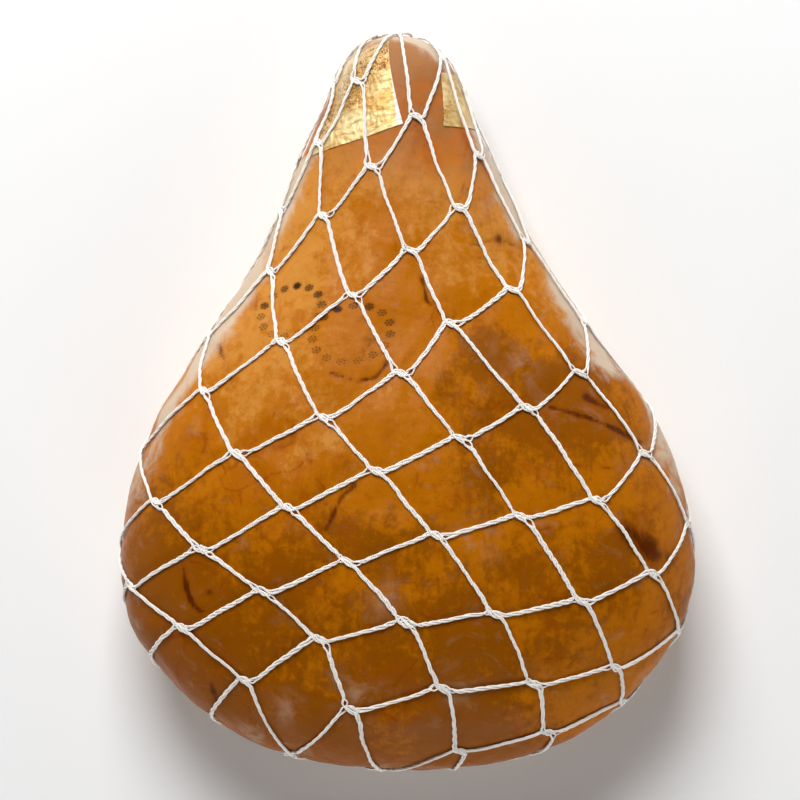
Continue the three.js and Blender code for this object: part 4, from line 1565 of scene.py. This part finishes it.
@dataclass
class FoilLabel:
    """A crumpled foil label on the rind: a four-cornered sheet under the net.

    Its crumple is the sum of triangle waves in many directions, which leaves flat facets with
    straight creases between them.
    """

    ham: Ham
    name: str
    node: str
    # (turn, along): near the tip on the +X side, near the tip on the -X side, then far -X, far +X
    corners: tuple[tuple[float, float], ...]
    paper_width: float = 0.0
    # share of the width where a fold lies, and its rise
    folds: tuple[tuple[float, float], ...] = ()
    fold_width: float = 0.7
    fold_slant: float = 0.02
    net_press: float = 0.7
    net_reach: float = 2.0
    # along a slanting band from near the sheet's edge towards the tip, the gold is darkened as painted shade
    # and brown specks gather: where it starts down the sheet, its slope and its reach
    tarnish_and_shade_start: float = 0.1
    tarnish_and_shade_slope: float = 0.5
    tarnish_and_shade_reach: float = 0.32
    paper_start: float = 0.42
    paper_blur: float = 0.006
    crease_bend: tuple[float, float] = (0.9, 12.0)
    cells: tuple[int, int] = (130, 130)
    gap: float = 0.3
    thickness: float = 0.12
    crumple: float = 0.024
    creases: int = 50
    crease_lengths: tuple[float, float] = (1.3, 5.5)
    tarnish_and_shade: float = 1.0
    seed: int = 21

    def build(self, material: Material) -> None:
        """Makes the sheet, and gives it its thickness."""
        down, across = np.meshgrid(*(np.linspace(0.0, 1.0, n) for n in self.cells), indexing="ij")
        down, across = down.ravel(), across.ravel()
        near_right, near_left, far_left, far_right = np.array(self.corners)
        place = ((1 - down) * (1 - across))[:, None] * near_right
        place = place + ((1 - down) * across)[:, None] * near_left
        place = place + (down * across)[:, None] * far_left
        place = place + (down * (1 - across))[:, None] * far_right
        turn, along = place.T
        skin = self.ham.skin
        points, normals = skin.place(turn, along), skin.normal(turn, along)
        distance, _ = self.ham.net.nearest(points)
        flat = np.stack([(turn - turn.mean()) * skin.girth(along), along], axis=1)
        pressed = 1.0 - self.net_press * bell(distance, self.net_reach)
        height = self.gap + self._crumpled(flat) * pressed
        width = np.ptp(flat[:, 0])
        for part, rise in self.folds:
            height += rise * bell((across - part + self.fold_slant * down) * width, self.fold_width)
        points = points + normals * (self.ham.heights(points, normals) + height)[:, None]
        quads = grid_quads(*self.cells, False)
        # a slanting band near the sheet's edge towards the tip: partly painted shade, partly where brown
        # specks gather
        aside = down - self.tarnish_and_shade_start - self.tarnish_and_shade_slope * across
        tarnish_and_shade = self.tarnish_and_shade * bell(aside, self.tarnish_and_shade_reach)
        edge = self.paper_width * smoothstep(self.paper_start, 1.0, down) / width
        paper = 0.0 * across
        if self.paper_width:
            paper = smoothstep(edge + self.paper_blur, edge - self.paper_blur, across)
        # the foil takes the painted reflection of the steep sides, as the rind does
        attributes = {"tarnish_and_shade": tarnish_and_shade, "paper": paper, "painted_rim_sheen": self.ham.painted_rim_sheen(points, normals)}
        piece = make_piece(self.name, points, [quads], material, attributes)
        shell = piece.modifiers.new("thickness", "SOLIDIFY")
        shell.thickness = self.thickness * MM
        shell.offset = 1.0
        finish_piece(piece, Slot.FOIL, self.node)

    def _crumpled(self, flat: Array) -> Array:
        """Crumple of the sheet over its unrolled places."""
        rng = np.random.default_rng(self.seed)
        angles = rng.uniform(0.0, TAU, self.creases)
        lengths = rng.uniform(*self.crease_lengths, self.creases)
        phases = rng.uniform(size=self.creases)
        bend, scale = self.crease_bend
        bends = [Ripple(scale, self.seed + k)(flat) for k in range(2)]
        bent = flat + bend * np.stack(bends, axis=1)
        ways = np.stack([np.cos(angles), np.sin(angles)]) / lengths
        waves = np.abs(np.mod(bent @ ways + phases, 1.0) - 0.5) * 4.0 - 1.0
        return self.crumple * (waves @ np.sqrt(lengths / lengths.mean()))


# ---------------------------------------------------------------- studio


@dataclass(frozen=True)
class Studio:
    """A pale floor, soft lights and the camera straight above."""

    camera_height: float = 2.0
    lens: float = 161.7
    aim: tuple[float, float] = (-0.0035, 0.0004)
    zenith: float = 0.03
    horizon: float = 1.3
    # heights between which the surround dims, as the sine of the angle
    dimming: tuple[float, float] = (0.15, 0.5)
    floor_reach: float = 6000.0
    floor_colour: tuple[float, ...] = (0.94, 0.94, 0.94, 1.0)
    # name, place, side and power
    softboxes: tuple[tuple[str, tuple[float, float, float], float, float], ...] = (
        ("key_softbox", (-0.3, 1.7, 1.75), 1.3, 67.0),
        ("fill_softbox", (0.3, -1.9, 0.65), 1.2, 12.0),
    )

    def build(self) -> None:
        """Makes the floor, the world, the lights and the camera."""
        self._floor()
        self._world()
        for softbox in self.softboxes:
            self._light(*softbox)
        self._camera()
        bpy.context.scene.view_settings.view_transform = "Standard"

    def _floor(self) -> None:
        """A wide plain plane at the table's height."""
        corners = np.array([[-1, -1, 0], [1, -1, 0], [1, 1, 0], [-1, 1, 0]], float) * self.floor_reach
        s = Shader("pale_floor")
        s.set(Base_Color=self.floor_colour, Roughness=0.9, Specular_IOR_Level=0.2)
        floor = make_piece("floor", corners, [np.array([[0, 1, 2, 3]])], s.material)

    def _world(self) -> None:
        """A surround that is bright round the horizon and dim overhead."""
        world = bpy.data.worlds.new("surround")
        world.use_nodes = True
        nodes, links = world.node_tree.nodes, world.node_tree.links
        place = nodes.new("ShaderNodeTexCoord")
        split = nodes.new("ShaderNodeSeparateXYZ")
        links.new(place.outputs["Generated"], split.inputs[0])
        fade = nodes.new("ShaderNodeMapRange")
        fade.interpolation_type = "SMOOTHSTEP"
        links.new(split.outputs[2], fade.inputs["Value"])
        limits = (*self.dimming, self.horizon, self.zenith)
        for key, value in zip(("From Min", "From Max", "To Min", "To Max"), limits):
            fade.inputs[key].default_value = value
        background = nodes["Background"]
        background.inputs[0].default_value = (1.0, 1.0, 1.0, 1.0)
        links.new(fade.outputs["Result"], background.inputs[1])
        bpy.context.scene.world = world

    def _light(self, name: str, at: tuple[float, float, float], size: float, power: float) -> None:
        """A square softbox that faces the ham."""
        data = bpy.data.lights.new(name, "AREA")
        data.shape = "SQUARE"
        data.size = size
        data.energy = power
        light = bpy.data.objects.new(name, data)
        light.location = at
        light.rotation_mode = "QUATERNION"
        light.rotation_quaternion = (-Vector(at)).to_track_quat("-Z", "Y")
        bpy.context.scene.collection.objects.link(light)

    def _camera(self) -> None:
        """Looks straight down, with +Y up in the frame."""
        data = bpy.data.cameras.new("camera")
        data.lens = self.lens
        data.sensor_width = 36.0
        data.clip_end = 20.0
        camera = bpy.data.objects.new("camera", data)
        camera.location = (*self.aim, self.camera_height)
        bpy.context.scene.collection.objects.link(camera)
        bpy.context.scene.camera = camera


def main() -> None:
    """Builds the pieces in order."""
    logging.basicConfig(level=logging.INFO, format="%(name)s %(message)s")
    skin = Skin()
    lattice = Lattice(skin)
    net = Net(skin, lattice)
    ham = Ham(skin, net)
    ham.build(RindFinish().build())
    net.build(CottonFinish("net_cotton", (250, 246, 240), (228, 220, 211)).build())
    string = CottonFinish("tie_twine", (226, 212, 184), (190, 172, 140), 3.0).build()
    outside = np.array([1.0, 0.0, 0.0])
    for end, gather, knot_side in (("shank", lattice.shank, outside), ("butt", lattice.butt, -outside)):
        way = unit(np.array(gather.way))
        Tie(f"{end}_twine", f"{end}_tie", net.neck_start(gather), way, knot_side).build(string)
    foil = FoilFinish().build()
    left = ((0.46, 17.0), (0.29, 38.0), (0.325, 88.0), (0.512, 71.0))
    right = ((0.8, 41.0), (0.63, 41.0), (0.598, 72.0), (0.77, 72.0))
    folds = ((0.93, 0.4), (0.86, -0.2), (0.8, 0.3))
    FoilLabel(ham, "left_foil", "foil_label_left", left, paper_width=3.0, folds=folds).build(foil)
    FoilLabel(ham, "right_foil", "foil_label_right", right, tarnish_and_shade=0.35, seed=33).build(foil)
    Studio().build()


if __name__ == "__main__":
    main()
